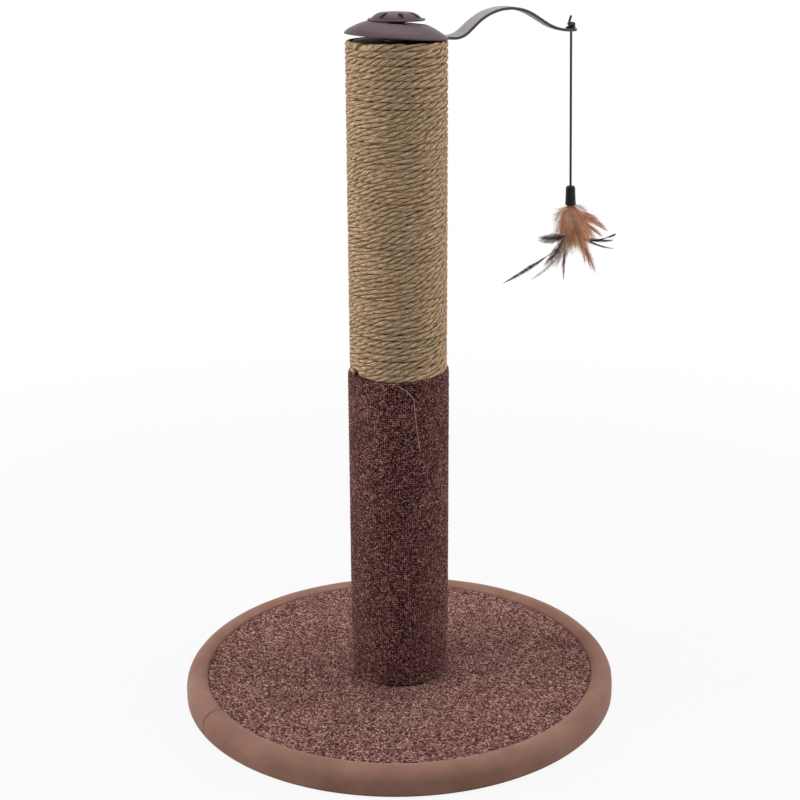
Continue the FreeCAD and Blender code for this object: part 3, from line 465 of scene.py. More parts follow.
# ---------------------------------------------------------------- padded rim
# A foam roll round the board, wrapped in brushed suede cloth that tucks in beside the carpet
# and is stapled underneath; the strip's ends overlap in one slanting seam at the front left.
suede, suede_shader = new_material("brushed_suede_cloth", "#946F61", roughness=0.88, sheen_weight=0.25,
                                   sheen_roughness=0.35, specular_ior_level=0.15)
suede_cloud = texture(suede, "Noise", 22.0, {"Detail": 5.0, "Roughness": 0.6})
suede_tone = ramp(suede, (suede_cloud, "Fac"), [(0.30, "#845F52"), (0.52, "#926C5E"), (0.75, "#A07A6B")])
# Painted shade darkens the slanting seam, from the attribute shade.
suede_seam_shade = ramp(suede, shade_of(suede), [(0.0, "#FFFFFF"), (1.0, "#3A2A24")])
# The nap's grain is about 1 mm, a little coarser than in the cloth, so that it shows.
suede_nap = texture(suede, "Noise", 900.0, {"Detail": 3.0})
wire_up(suede, suede_shader, base_color=blend(suede, "MULTIPLY", 1.0, suede_tone, suede_seam_shade),
        normal=bump(suede, (suede_nap, "Fac"), 0.35, 0.0005))

base_radius = 200.0
roll_radius = 12.3
roll_middle = base_radius - roll_radius
cloth = 1.2
hem_radius = 168.0
tuck_radius, tuck_height = 180.1, 16.2
tuck_angle = np.arccos((roll_middle - tuck_radius) / roll_radius)
seam_at = radians(210.6)


def roll_line(radius, foot):
    """The section of the roll: a round top from the tuck to the side, an upright side, and a
    tighter bend, pulled round the board's lower edge by the staples."""
    bend_height = roll_radius - radius + foot

    def arc(reach, height, bend_radius, angle):
        return np.column_stack([reach + bend_radius * np.cos(angle), height + bend_radius * np.sin(angle)])

    top = arc(roll_middle, roll_radius, radius, np.linspace(pi - tuck_angle, 0.0, 20))
    side_heights = np.linspace(roll_radius, bend_height, 7)[1:-1]
    side = np.column_stack([np.full(5, roll_middle + radius), side_heights])
    bend = arc(roll_middle + radius - foot, bend_height, foot, np.linspace(0.0, -pi / 2, 7))
    return np.vstack([top, side, bend])


rim_profile = np.vstack([
    [(tuck_radius, tuck_height)], roll_line(roll_radius, 4.4), [(hem_radius, 0.0), (hem_radius, cloth)],
    roll_line(roll_radius - cloth, 3.2)[::-1], [(tuck_radius + cloth, tuck_height)]])
rim_angle = np.unique(np.concatenate([full_turn(520), np.linspace(seam_at - 0.02, seam_at + 0.04, 60)]))
rim_points = turned_points(rim_profile, rim_angle)
# The roll swells and sinks by some tenths of a millimetre, with faint pulled creases.
rim_swell = sum(size * np.sin(count * rim_angle + phase) for size, count, phase in (
    (0.16, 7, 0.4), (0.13, 13, 2.0), (0.10, 23, 4.1), (0.06, 41, 1.0)))
rim_offset = rim_profile - np.array([roll_middle, roll_radius])
rim_sideways = rim_offset[:, :1] / roll_radius
on_roll = np.clip((rim_profile[:, 1:] - 1.5) / 4.0, 0.0, 1.0)
rim_change = -0.35 * on_roll * (0.5 + rim_swell[None])
# At the back right the roll is stuffed a little fuller.
fuller = np.exp(-((rim_angle[None] - radians(42.0)) / 0.6) ** 2)
rim_change += 1.8 * on_roll * np.clip(0.4 + rim_sideways, 0.0, 1.0) * fuller
# The overlap is a step across the roll, with the lower layer's edge pulled in beside it.
seam_line = seam_at + 0.004 * np.sin(3.0 * np.linspace(0.0, pi, len(rim_profile)))
seam_gap = rim_angle[None] - seam_line[:, None]
rim_change += on_roll * 0.9 * (seam_gap > 0) * np.exp(-np.clip(seam_gap, 0, None) / 0.06)
rim_change -= on_roll * 1.6 * np.exp(-(seam_gap / 0.005) ** 2)
# Painted shade in the seam's gap, strongest on the roll's outer side.
rim_seam_shade = np.exp(-(seam_gap / 0.0042) ** 2) * np.clip(0.45 + 0.8 * rim_sideways, 0.3, 1.0)
rim_out = rim_offset / np.maximum(np.hypot(rim_offset[:, :1], rim_offset[:, 1:]), 1e-6)
rim_points += (rim_change * rim_out[:, :1])[..., None] * compass(rim_angle)[0]
rim_points[..., 2] += rim_change * rim_out[:, 1:]
rim_piece = mesh_piece("padded_suede_rim", rim_points, grid_faces(*rim_change.shape, True, True), rim_seam_shade,
                       suede, "root", "suede", ["rim_cover"])

# ---------------------------------------------------------------- seagrass rope
# Four strands of twisted seagrass, wound round the card tube in fifty close turns and glued;
# strands and turns vary in thickness and colour as cut grass does.
seagrass, seagrass_shader = new_material("twisted_seagrass", "#A58C68", roughness=0.85,
                                         specular_ior_level=0.08)
grass_lay = add_node(seagrass, "UVMap", {}, uv_map="lay")


def grass_noise(stretch, **inputs):
    """Noise over the rope's lay, which is millimetres along the rope and strands across it."""
    stretched = add_node(seagrass, "Mapping", {"Vector": (grass_lay, "UV"), "Scale": (*stretch, 1.0)})
    return add_node(seagrass, "TexNoise", {"Vector": (stretched, "Vector"), "Scale": 1.0, **inputs}), "Fac"


# Along the lay a blade runs about 5 mm before it dips under its neighbours.
grass_blades = grass_noise((0.19, 4.2), Detail=5.0, Roughness=0.68)
grass_tint = grass_noise((0.035, 1.0), Detail=2.0)
grass_colour = ramp(seagrass, grass_blades, [(0.34, "#5A3E28"), (0.44, "#AE8E6C"), (0.53, "#D9BC97"),
                                             (0.64, "#FFF2DA")])
grass_shift = ramp(seagrass, grass_tint, [(0.30, "#9B9270"), (0.50, "#AE9272"), (0.68, "#BE8A6A")])
grass_mixed = blend(seagrass, "MIX", 0.28, grass_colour, grass_shift)
# The map's second axis counts strands: each has its crown half way between two whole numbers.
grass_axes = add_node(seagrass, "SeparateXYZ", {"Vector": (grass_lay, "UV")})
grass_crown = combine(seagrass, "PINGPONG", (grass_axes, "Y"), 0.5)
# Painted shade: the ramp below darkens the valleys between strands and, through the attribute shade, the
# grooves between turns.
grass_shade_level = combine(seagrass, "MULTIPLY_ADD", grass_tint, 0.35, grass_crown)
grass_shade_level = combine(seagrass, "MULTIPLY", grass_shade_level, shade_of(seagrass))
grass_painted_groove_shade = ramp(seagrass, grass_shade_level, [(0.09, "#1A0F07"), (0.21, "#9A826A"), (0.36, "#FFFFFF")])
grass_relief = combine(seagrass, "MULTIPLY_ADD", grass_crown, 1.6, grass_blades)
wire_up(seagrass, seagrass_shader, base_color=blend(seagrass, "MULTIPLY", 1.0, grass_mixed, grass_painted_groove_shade),
        normal=bump(seagrass, grass_relief, 1.0, 0.0010))

rope_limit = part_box("seagrass_rope")[1][0] / MM + 0.6
rope_radius = 3.3
rope_reach = 40.5
rope_lay = 40.0
rope_strands = 4
rope_seed = np.random.default_rng(37)
rope_foot = pile_top + 2.6
rope_head = 599.0 - 2.6
rope_turns = 50.0 + 108.0 / 360.0
rope_pitch = (rope_head - rope_foot) / rope_turns
stations = int(rope_turns * 104)
turn_angle = np.linspace(0.0, 2 * pi * rope_turns, stations)
run_length = turn_angle * rope_reach
turns_up = turn_angle / (2 * pi)
turns_left = rope_turns - turns_up


def level_turns(turns):
    """How far, in pitches, a turn is moved to lie level with the end: each of the last turns
    climbs in one short jog, less and less so over eight turns."""
    part = turns % 1.0
    jog = np.clip((part - 0.88) / 0.12, 0.0, 1.0)
    return np.clip(1.0 - np.floor(turns) / 8.0, 0.0, 1.0) * (part - jog * jog * (3.0 - 2.0 * jog))


def rope_waves(sizes, periods):
    """A sum of sine waves along the rope, each from a drawn phase."""
    phases = rope_seed.uniform(0, 2 * pi, len(sizes))
    return sum(size * np.sin(run_length / period + phase)
               for size, period, phase in zip(sizes, periods, phases))


wander = rope_waves((0.20, 0.16, 0.12), (61.0, 23.0, 9.0))
thick = (1.0 + rope_waves((0.045, 0.04, 0.03), (47.0, 17.0, 6.1)))[:, None]
# The section has most of its points on the side that shows.
section_degrees = [*np.linspace(-105.0, 105.0, 14), 135.0, 165.0, 195.0, 225.0]
section_angle = np.radians(section_degrees)
section_points = len(section_angle)
twist = -2 * pi * run_length / rope_lay + 1.1 * np.sin(run_length / 31.0) + 0.7 * np.sin(run_length / 13.7)
strand_place = rope_strands * (section_angle[None] - twist[:, None]) / (2 * pi)
# In the top turn, at the front left, a strand's end is pressed flat and smooth for 30 mm.
smooth_part = np.exp(-(((turns_left - 0.375) / 0.06) ** 4))[:, None]
smooth_place = strand_place[np.argmax(smooth_part), 0]
strand_place = strand_place - np.floor(smooth_place)
strand_place = strand_place + (0.5 - strand_place) * 0.75 * smooth_part
ply = np.abs(np.sin(pi * strand_place)) ** 0.6
section_radius = rope_radius * thick * (0.73 + 0.27 * ply)
# Turns press into each other, so a section is flattened and its strands lie over the next turn's.
section_out = np.minimum(section_radius * np.cos(section_angle), 2.75 + 0.1 * thick)
near_end = np.clip(np.minimum(turns_up, turns_left) / 0.9, 0.0, 1.0)[:, None]
half_height = (0.49 + 0.11 * near_end) * rope_pitch
section_up = np.clip(section_radius * np.sin(section_angle), -half_height, half_height)
round_angle = radians(203.0) - turn_angle
reach = np.minimum(rope_reach - 0.1 + 0.3 * wander[:, None] + section_out, rope_limit)
rope_height = rope_foot + rope_pitch * (turns_up - level_turns(turns_up) + level_turns(turns_left))
rope_height -= pile_lean * np.cos(round_angle - pile_low_side) * np.exp(-turns_up / 3.0)
rope_height += 0.9 * wander * np.clip(np.minimum(turns_up, turns_left) / 0.5, 0.0, 1.0)
rope_points = reach[..., None] * compass(round_angle)[0][:, None]
rope_points[..., 2] = rope_height[:, None] + section_up
rope_uv = np.stack([np.repeat(run_length[:, None], section_points, 1), strand_place], -1)
# The attribute shade paints shade into the grooves between turns: it falls off past the section's face,
# except where a strand's crown crosses the groove.
on_face = np.clip((np.cos(section_angle)[None] + 0.15) / 0.6, 0.0, 1.0)
rope_groove_shade = on_face + (1.0 - on_face) * np.clip(2.0 * ply - 1.0, 0.0, 0.5)
rope_faces = grid_faces(stations, section_points, False, True)
rope_total = stations * section_points
rope_ends = [list(range(section_points))[::-1], list(range(rope_total - section_points, rope_total))]
# Short broken blades stand off the rope, most of them along its run.
blade_count = 2600
blade_out, blade_round = compass(rope_seed.uniform(0.0, 2 * pi, blade_count))
blade_roots = blade_out * (rope_reach + 2.5)
blade_roots[:, 2] = rope_seed.uniform(rope_foot, rope_head, blade_count)
blade_long = rope_seed.uniform(2.0, 7.0, blade_count)
blade_rise = rope_seed.normal(0.25, 0.25, blade_count)
blade_sense = rope_seed.choice([-1.0, 1.0], blade_count)
blade_lift = rope_seed.uniform(-0.2, 0.9, blade_count)
blade_run = blade_round * (blade_long * blade_sense)[:, None] + blade_out * blade_lift[:, None]
blade_run[:, 2] += blade_long * blade_rise
rope_blades = fibres(blade_roots, blade_run, rope_seed.uniform(0.2, 0.55, blade_count), upwards,
                     np.full(blade_count, 0.9))
blade_lay = np.repeat(rope_seed.uniform(0.0, 400.0, (blade_count, 2)), 4, 0)
all_points, all_faces, all_shades = joined((rope_points, rope_faces, rope_groove_shade), rope_blades)
mesh_piece("wound_seagrass_rope", all_points, all_faces.tolist() + rope_ends, all_shades, seagrass, "root",
           "seagrass", ["seagrass_rope"], lay=np.concatenate([rope_uv.reshape(-1, 2), blade_lay]))

# ---------------------------------------------------------------- toy head
# The cap and the knob are injection moulded in satin brown-grey polypropylene, with a fine
# spark-eroded grain; the cap leans towards the arm, and the knob stands upright on its stud.
satin, satin_shader = new_material("satin_polypropylene", "#524145", roughness=0.42, specular_ior_level=0.14)
satin_grain = texture(satin, "Noise", 1600.0, {"Detail": 2.0})
satin_cloud = (texture(satin, "Noise", 45.0, {"Detail": 4.0}), "Fac")
satin_tone = ramp(satin, satin_cloud, [(0.3, "#503D41"), (0.7, "#5A474B")])
# Painted shade darkens the finger slots.
satin_slot_shade = ramp(satin, shade_of(satin), [(0.0, "#FFFFFF"), (1.0, "#4A4042")])
wire_up(satin, satin_shader, base_color=blend(satin, "MULTIPLY", 1.0, satin_tone, satin_slot_shade),
        roughness=rescale(satin, satin_cloud, 0.3, 0.7, 0.36, 0.5),
        normal=bump(satin, (satin_grain, "Fac"), 0.12, 0.0003))


def in_head(points):
    """Points of the leaning head's own frame, tilted, turned to the arm's bearing and lifted."""
    points = np.asarray(points, float)
    tilt = radians(4.5)
    across = points[..., 0] * cos(tilt) + points[..., 2] * sin(tilt)
    up = points[..., 2] * cos(tilt) - points[..., 0] * sin(tilt) + 603.0
    return (np.multiply.outer(across, arm_way) + np.multiply.outer(points[..., 1], np.cross(upwards, arm_way))
            + np.multiply.outer(up, upwards))


cap_radius, cap_rise, cap_lip, cap_wall = 43.9, 14.75, 0.7, 2.0
seat_radius, seat_height = 25.6, 9.6
hub_radius, hub_bore, hub_foot = 13.6, 8.5, 1.9
lip_reach = 33.0
dome_sag = cap_rise - cap_lip
dome_radius = (cap_radius ** 2 + dome_sag ** 2) / (2 * dome_sag)
dome_drop = dome_radius - cap_rise
inner_radius = dome_radius - cap_wall
roof = seat_height - cap_wall


def dome_line(radius, start, end, count):
    """Points on a sphere about the dome's middle, from one distance off its axis to another."""
    off_axis = np.linspace(start, end, count)
    return np.column_stack([off_axis, np.sqrt(radius ** 2 - off_axis ** 2) - dome_drop])


cap_outside = dome_line(dome_radius, cap_radius, seat_radius, 22)
cap_inside = dome_line(inner_radius, sqrt(inner_radius ** 2 - (roof + dome_drop) ** 2),
                       sqrt(inner_radius ** 2 - dome_drop ** 2), 18)
cap_profile = np.vstack([[(cap_radius, 0.0)], cap_outside, [
    (seat_radius, seat_height), (hub_bore, seat_height), (hub_bore, hub_foot), (hub_radius, hub_foot),
    (hub_radius, roof)], cap_inside])
cap_angle = full_turn(288)
cap_bearing = (cap_angle + pi) % (2 * pi) - pi
cap_reach, cap_height = (np.repeat(line[:, None], len(cap_angle), 1) for line in cap_profile.T)
in_lip = cap_reach > lip_reach
# The rim is notched over the arm: there its two faces stop at the notch's roof.
notch_half, notch_roof = 0.298, 2.2
notch = notch_roof * 0.5 * (1.0 - np.tanh((np.abs(cap_bearing) - notch_half) / 0.008))
cap_height = np.maximum(cap_height, notch[None] * in_lip)
outer_rows = len(cap_outside) + 1
no_limit = 1e3
shell_radius = np.full(len(cap_profile), inner_radius)
shell_radius[:outer_rows] = dome_radius
cap_limit = np.sqrt(shell_radius[:, None] ** 2 - (cap_height + dome_drop) ** 2)
cap_limit[outer_rows:outer_rows + 5] = no_limit
cap_limit[0] = np.where(notch > 0.75, cap_limit[0], no_limit)
cap_reach = np.minimum(cap_reach, cap_limit)
# Away from the arm the lip hangs up to 1.3 mm lower than the rim's own plane.
lip_drop = 0.65 * (1.0 - np.cos(cap_bearing))[None] * np.clip(1.0 - cap_height / 3.0, 0.0, 1.0)
cap_height = cap_height - lip_drop * in_lip
cap_points = np.stack([cap_reach * np.cos(cap_angle), cap_reach * np.sin(cap_angle), cap_height], -1)
cap_faces = grid_faces(*cap_reach.shape, True, True)
cap_piece = mesh_piece("moulded_cap", in_head(cap_points), cap_faces, None, satin, "head", "cap_plastic",
                       ["cap_dome"], weld=True)
cap_bevel = cap_piece.modifiers.new("rounded_edges", "BEVEL")
cap_bevel.width = 0.25 * MM
cap_bevel.segments = 2
cap_bevel.limit_method = "ANGLE"
cap_bevel.angle_limit = radians(35.0)

# ---------------------------------------------------------------- knob
# The turning knob holds a brass insert and clamps the bush: a low dome over a thin brim,
# with seven finger slots let into its shoulder.
brim_foot, brim_top, brim_radius = 615.5, 616.7, 24.0
knob_radius, shoulder_top, crown_radius, knob_top = 21.5, 622.0, 11.0, 622.4
shoulder_bend = 14.0
shoulder_chord = hypot(knob_radius - crown_radius, shoulder_top - brim_top)
shoulder_half = np.arcsin(shoulder_chord / 2 / shoulder_bend)
chord_way = np.array([crown_radius - knob_radius, shoulder_top - brim_top]) / shoulder_chord
inwards = np.array([-chord_way[1], chord_way[0]])
chord_middle = np.array([knob_radius + crown_radius, brim_top + shoulder_top]) / 2
shoulder_middle = chord_middle + inwards * sqrt(shoulder_bend ** 2 - (shoulder_chord / 2) ** 2)
sweep = shoulder_half * np.linspace(-1.0, 1.0, 26)
shoulder = shoulder_middle + shoulder_bend * (
    np.outer(-np.cos(sweep), inwards) + np.outer(np.sin(sweep), chord_way))
crown_reach = np.linspace(crown_radius, 0.0, 14)[1:]
crown_sag = (knob_top - shoulder_top) * (crown_reach / crown_radius) ** 2
crown = np.column_stack([crown_reach, knob_top - crown_sag])
knob_under = [(0.0, 619.0), (4.46, 619.0), (4.46, 610.0), (7.0, 610.0), (7.0, 617.4), (16.5, 617.4),
              (16.5, brim_foot), (brim_radius, brim_foot), (brim_radius, brim_top)]
brim = np.column_stack([np.linspace(brim_radius, knob_radius, 6)[1:-1], np.full(4, brim_top)])
knob_profile = np.vstack([knob_under, brim, shoulder, crown])
knob_angle = full_turn(420)
knob_points = turned_points(knob_profile, knob_angle)
slot_count, slot_inner, slot_outer, slot_half, slot_depth = 7, 12.2, 20.4, 1.8, 2.2
slot_turn = 2 * pi / slot_count
slot_bearing = (knob_angle - radians(181.0) + slot_turn / 2) % slot_turn - slot_turn / 2
knob_reach = knob_profile[:, :1]
slot_along = knob_reach * np.cos(slot_bearing)
slot_across = knob_reach * np.sin(slot_bearing)
slot_middle = np.clip(slot_along, slot_inner + slot_half, slot_outer - slot_half)
slot_away = np.hypot(slot_along - slot_middle, slot_across)
slot_floor = np.interp(knob_reach, [slot_inner, slot_outer], [shoulder_top - slot_depth, brim_top])
on_top = knob_profile[:, 1:] > brim_top - 0.01
on_top[:len(knob_under)] = False
slot_mask = on_top / (1.0 + np.exp((slot_away - slot_half) / 0.12))
knob_points[..., 2] += slot_mask * np.minimum(slot_floor - knob_points[..., 2], 0.0)
# The slot mask is also the attribute shade, so that the slots get their painted shade.
mesh_piece("slotted_knob", knob_points, grid_faces(*slot_mask.shape, False, True), slot_mask, satin, "knob",
           "cap_plastic", ["top_knob"], weld=True)

# ---------------------------------------------------------------- springy arm
# One strip of grained springy plastic, 23 mm wide where it leaves the cap and 7 mm at its
# tip, bent in a wave; its faces are pebbled and painted a lighter grey as the sheen that they catch, and its
# edges are smooth and dark.
strip, strip_shader = new_material("grained_spring_strip", "#8B8587", roughness=0.5, specular_ior_level=0.5)
pebbled_face_sheen = shade_of(strip)
# Pebbles of the grained face are 1.1 mm across.
strip_grain = texture(strip, "Voronoi", 900.0, feature="SMOOTH_F1")
strip_depth = combine(strip, "MULTIPLY", (strip_grain, "Distance"), pebbled_face_sheen)
# Painted sheen: the flat faces get a lighter grey than the dark edges.
wire_up(strip, strip_shader, base_color=ramp(strip, pebbled_face_sheen, [(0.25, "#262021"), (0.75, "#8F898B")]),
        normal=bump(strip, strip_depth, 0.5, 0.0006, True))

arm_thick, arm_top = 2.4, 1.9
root_half, tip_half, eye_radius = 13.9, 3.6, 17.0
# Top line: lengths of the straight and bent stretches, and the slope at the end of each.
climb, fall, lift = radians(44.5), radians(25.5), radians(14.4)
stretches = [(0.0, 0.0), (47.5 + eye_radius, 0.0), (20.0 * climb, climb), (9.6, climb),
             (52.0 * (climb + fall), -fall), (13.0, -fall), (51.0 * (fall + lift), lift)]
line_lengths, line_slopes = np.array(stretches).T
line_ends = np.cumsum(line_lengths)
fine = np.linspace(0.0, line_ends[-1], 4001)
fine_slope = np.interp(fine, line_ends, line_slopes)
mid_slope = (fine_slope[1:] + fine_slope[:-1]) / 2
line_x = np.concatenate([[0.0], np.cumsum(np.cos(mid_slope) * np.diff(fine))]) - eye_radius
line_z = np.concatenate([[0.0], np.cumsum(np.sin(mid_slope) * np.diff(fine))]) + arm_top
tip_x = line_x[-1] - arm_thick
arm_share = (1 - np.cos(np.linspace(0.0, pi, 40))) / 2
arm_at = np.concatenate([eye_radius * (arm_share[:20] - 1), np.linspace(-8.0, tip_x - 3.7, 150),
                         tip_x - 3.6 * (1 - np.sin(np.linspace(0.0, pi / 2, 14)))])
arm_at = np.unique(np.clip(arm_at, -eye_radius + 0.02, tip_x - 0.01))
arm_slope = np.interp(arm_at, line_x, fine_slope)[:, None]
arm_rise = np.interp(arm_at, line_x, line_z)[:, None]
# Half widths: round the eye plate, then straight to the tip, and round it.
shoulder_x = sqrt(eye_radius ** 2 - root_half ** 2)
arm_half = np.interp(arm_at, [shoulder_x, tip_x - tip_half], [root_half, tip_half])
eye_half = np.sqrt(eye_radius ** 2 - np.minimum(arm_at, shoulder_x) ** 2)
arm_half = np.where(arm_at < shoulder_x, eye_half, arm_half)
past_tip = np.clip((arm_at - (tip_x - tip_half)) / tip_half, 0.0, 1.0)
arm_half = (arm_half * np.sqrt(1 - past_tip ** 2))[:, None]
# One half of the section: along the top, round both edges, and back underneath.
edge_round = 0.55
edge_arc = np.linspace(0.0, pi / 2, 5)
half_side = np.linspace(0.0, 1.0, 7)[:-1]
flat = np.zeros(6)
sine_gap = edge_round * (1 - np.sin(edge_arc))
cosine_gap = edge_round * (1 - np.cos(edge_arc))
side_across = np.concatenate([flat, -sine_gap, -cosine_gap, flat])
side_down = np.concatenate([flat, cosine_gap, arm_thick - sine_gap, flat + arm_thick])
side_share = np.concatenate([half_side, np.ones(10), half_side[::-1]])
side_face = np.concatenate([np.ones(7), np.zeros(8), np.ones(7)])
section_share, section_across = (np.append(line, -line[-2:0:-1]) for line in (side_share, side_across))
section_down, section_face = (np.append(line, line[-2:0:-1]) for line in (side_down, side_face))
arm_across = arm_half * section_share + section_across * np.minimum(1.0, arm_half / 1.2)
arm_points = np.stack([arm_at[:, None] + np.sin(arm_slope) * section_down, arm_across,
                       arm_rise - np.cos(arm_slope) * section_down], -1)
arm_total = arm_across.size
arm_columns = len(section_share)
arm_caps = [list(range(arm_columns)), list(range(arm_total - arm_columns, arm_total))[::-1]]
arm_faces = grid_faces(*arm_across.shape, False, True).tolist() + arm_caps
mesh_piece("wave_arm", in_head(arm_points), arm_faces, np.tile(section_face, len(arm_at)), strip, "head",
           "arm_plastic", ["teaser_arm"], weld=True)

# ---------------------------------------------------------------- ferrule
# A turned black plastic cap, glued on the elastic's end and crimped over the feathers' quills.
black_plastic, black_shader = new_material("black_moulded_plastic", "#110E0F", roughness=0.45,
                                           specular_ior_level=0.2)
black_grain = (texture(black_plastic, "Noise", 700.0, {"Detail": 3.0}), "Fac")
wire_up(black_plastic, black_shader,
        base_color=ramp(black_plastic, black_grain, [(0.35, "#0C0A0B"), (0.7, "#1A1718")]),
        normal=bump(black_plastic, black_grain, 0.25, 0.0003))


def on_toy(across, aside, down):
    """Points in the hanging toy's own frame, in millimetres, as places in the row frame."""
    return pivot / MM + (np.multiply.outer(across, toy_across) + np.multiply.outer(aside, toy_aside)
                         + np.multiply.outer(down, toy_down))


ferrule_top, ferrule_foot = 135.0, 152.4
shoulder_arc = np.linspace(0.0, pi / 2, 8)
ferrule_shoulder = np.column_stack([1.7 + 2.6 * np.sin(shoulder_arc), 2.6 * (1 - np.cos(shoulder_arc))])
ferrule_profile = np.vstack([
    [(0.0, ferrule_top + 6.1), (1.15, ferrule_top + 6.1), (1.15, ferrule_top), (1.5, ferrule_top)],
    ferrule_shoulder + [0.0, ferrule_top],
    [(4.45, ferrule_foot - 8.0), (4.7, ferrule_foot - 4.6), (4.35, ferrule_foot - 4.0),
     (4.75, ferrule_foot - 3.4), (4.9, ferrule_foot - 0.5), (4.7, ferrule_foot), (3.7, ferrule_foot),
     (3.7, ferrule_foot - 11.0), (0.0, ferrule_foot - 11.0)]])
ferrule_points = on_toy(*np.moveaxis(turned_points(ferrule_profile, full_turn(48)), -1, 0))
mesh_piece("crimped_ferrule", ferrule_points, grid_faces(len(ferrule_profile), 48, False, True), None,
           black_plastic, "toy", "black_plastic", ["toy_ferrule"], weld=True)

# ---------------------------------------------------------------- feathers
# Ginger hackles and down make the bunch, with a few dark grey and pale quill feathers among
# them. Each feather is a shaft with barbs on both sides, every barb a thin ribbon.


def feather_material(name, tones, scale):
    """Keratin barbs: tones run over each barb's own shade and half of a fine streak's."""
    material, shader = new_material(name, tones[1][1], roughness=0.6, sheen_weight=0.1, sheen_roughness=0.4,
                                    specular_ior_level=0.2)
    streak = texture(material, "Noise", scale, {"Detail": 3.0})
    level = combine(material, "MULTIPLY_ADD", (streak, "Fac"), 0.5, shade_of(material))
    level = combine(material, "SUBTRACT", level, 0.25)
    wire_up(material, shader, base_color=ramp(material, level, tones))
    return material


ribbon_steps = np.linspace(0.0, 1.0, 4)


def ribbons(centre, half):
    """Ribbons of three quads, from their middle lines and the half widths beside them."""
    points = np.stack([centre - half, centre + half], -2).reshape(-1, 3)
    starts = np.arange(0, len(points), 8)
    return points, (grid_faces(4, 2)[None] + starts[:, None, None]).reshape(-1, 4)


def feather(generator, root, tip, bow, width, barbs, angle, fluff, shade, quill=0.35, bare=0.12, blunt=0.02,
            barb=0.3, taper=0.6):
    """A feather's points, quads and shades. The shaft is a parabola from root to tip that bows
    aside, and barbs of one breadth leave it on both sides at the angle, shorter to the tip,
    which is rounder the blunter it is; fluff bends them."""
    root, tip = np.array(root, float), np.array(tip, float)
    way = (tip - root) / np.linalg.norm(tip - root)
    side = np.cross(way, [0.0, 1.0, 0.0])
    side /= np.linalg.norm(side)
    depth = np.cross(way, side)
    along = np.linspace(bare, 0.995, barbs)
    shaft_share = np.linspace(0.0, 1.0, 12)

    def shaft(share):
        return root + np.outer(share, tip - root) + np.outer(4 * share * (1 - share) * bow, side)

    both = (2, barbs)
    span = 1.25 * width * np.minimum(1.0, 4.0 * (along - bare) + 0.25)
    span = span * np.sqrt(np.clip(1.0 + blunt - along, 0, 1))
    lean = generator.normal(angle, 0.04 + 0.35 * fluff, both) * (1 - 0.85 * along ** 8)
    reach = span * generator.uniform(1 - 0.5 * fluff - 0.1, 1.05, both)
    curl = generator.normal(0.0, 0.12 + 0.9 * fluff, both)
    lift = generator.normal(0.15, 0.1 + 0.8 * fluff, both)
    steps = ribbon_steps
    forward = (reach * np.cos(lean))[..., None] * steps
    aside = (reach * np.sin(lean) * [[-1.0], [1.0]])[..., None] * steps * (1 - 0.18 * steps)
    rise = (reach * lift)[..., None] * steps + (reach * curl)[..., None] * steps ** 2
    centre = shaft(along)[:, None] + sum(
        part[..., None] * axis for part, axis in ((forward, way), (aside, side), (rise, depth)))
    barb_points, barb_faces = ribbons(centre, np.outer(0.5 * barb * (1 - taper * steps), way))
    tones = (shade + generator.normal(0.0, 0.10, both))[..., None] + 0.45 * (steps - 0.4)
    ring_way = np.outer(np.cos(full_turn(5)), side) + np.outer(np.sin(full_turn(5)), depth)
    rod = shaft(shaft_share)[:, None] + (quill * (1.0 - 0.85 * shaft_share))[:, None, None] * ring_way
    return joined((barb_points, barb_faces, np.repeat(tones, 2)),
                  (rod, grid_faces(12, 5, False, True), np.full(60, shade - 0.1)))


def down(generator, count):
    """Fine down hairs: each a tapered ribbon of three quads that leaves the bunch's middle line
    outwards and downwards and curls up by the square of its length."""
    height = 30.0 * generator.uniform(0.0, 1.0, count) ** 0.8
    out, _ = compass(generator.uniform(0.0, 2 * pi, count))
    root = out * (0.8 + 0.16 * height)[:, None] - np.outer(height, [-0.16, 0.0, 1.0])
    slope = generator.uniform(0.1, 1.3, count)
    long = generator.uniform(6.0, 16.0, count)
    steps = ribbon_steps[:, None]
    run = (out * np.sin(slope)[:, None] - np.outer(np.cos(slope), upwards)) * long[:, None]
    curl = generator.normal(0.0, 2.2, (count, 3))
    centre = root[:, None] + run[:, None] * steps + curl[:, None] * steps ** 2
    aside = np.cross(run, generator.normal(0.0, 1.0, (count, 3)))
    aside /= np.linalg.norm(aside, axis=1, keepdims=True)
    points, faces = ribbons(centre, aside[:, None] * 0.15 * (1.0 - 0.75 * steps))
    shades = generator.uniform(0.45, 0.95, (count, 1)) + 0.25 * ribbon_steps
    return points, faces, np.repeat(shades, 2)


def bunch(name, feathers, material, slot, replaced, seed, down_count=0):
    """Several feathers and down as one piece on the toy; places are to the right, away and up from
    the ferrule's foot, as the camera sees them, and are turned to the toy's own bearing."""
    generator = np.random.default_rng(seed)
    parts = [down(generator, down_count)]
    parts += [feather(generator, *settings) for settings in feathers]
    points, faces, shades = joined(*parts)
    right, away, up = points.T
    placed = on_toy(right * cos(arm_bearing) + away * sin(arm_bearing),
                    away * cos(arm_bearing) - right * sin(arm_bearing), ferrule_foot - up)
    return mesh_piece(name, placed, faces, shades, material, "toy", slot, replaced)


ginger = feather_material("ginger_hackle", [(0.08, "#7A3A20"), (0.34, "#C47A4C"), (0.62, "#F0B284"),
                                            (0.95, "#FFE8D2")], 160.0)
ginger_seed = np.random.default_rng(5)
golden_angle = 2.399963
hackle_count = 34
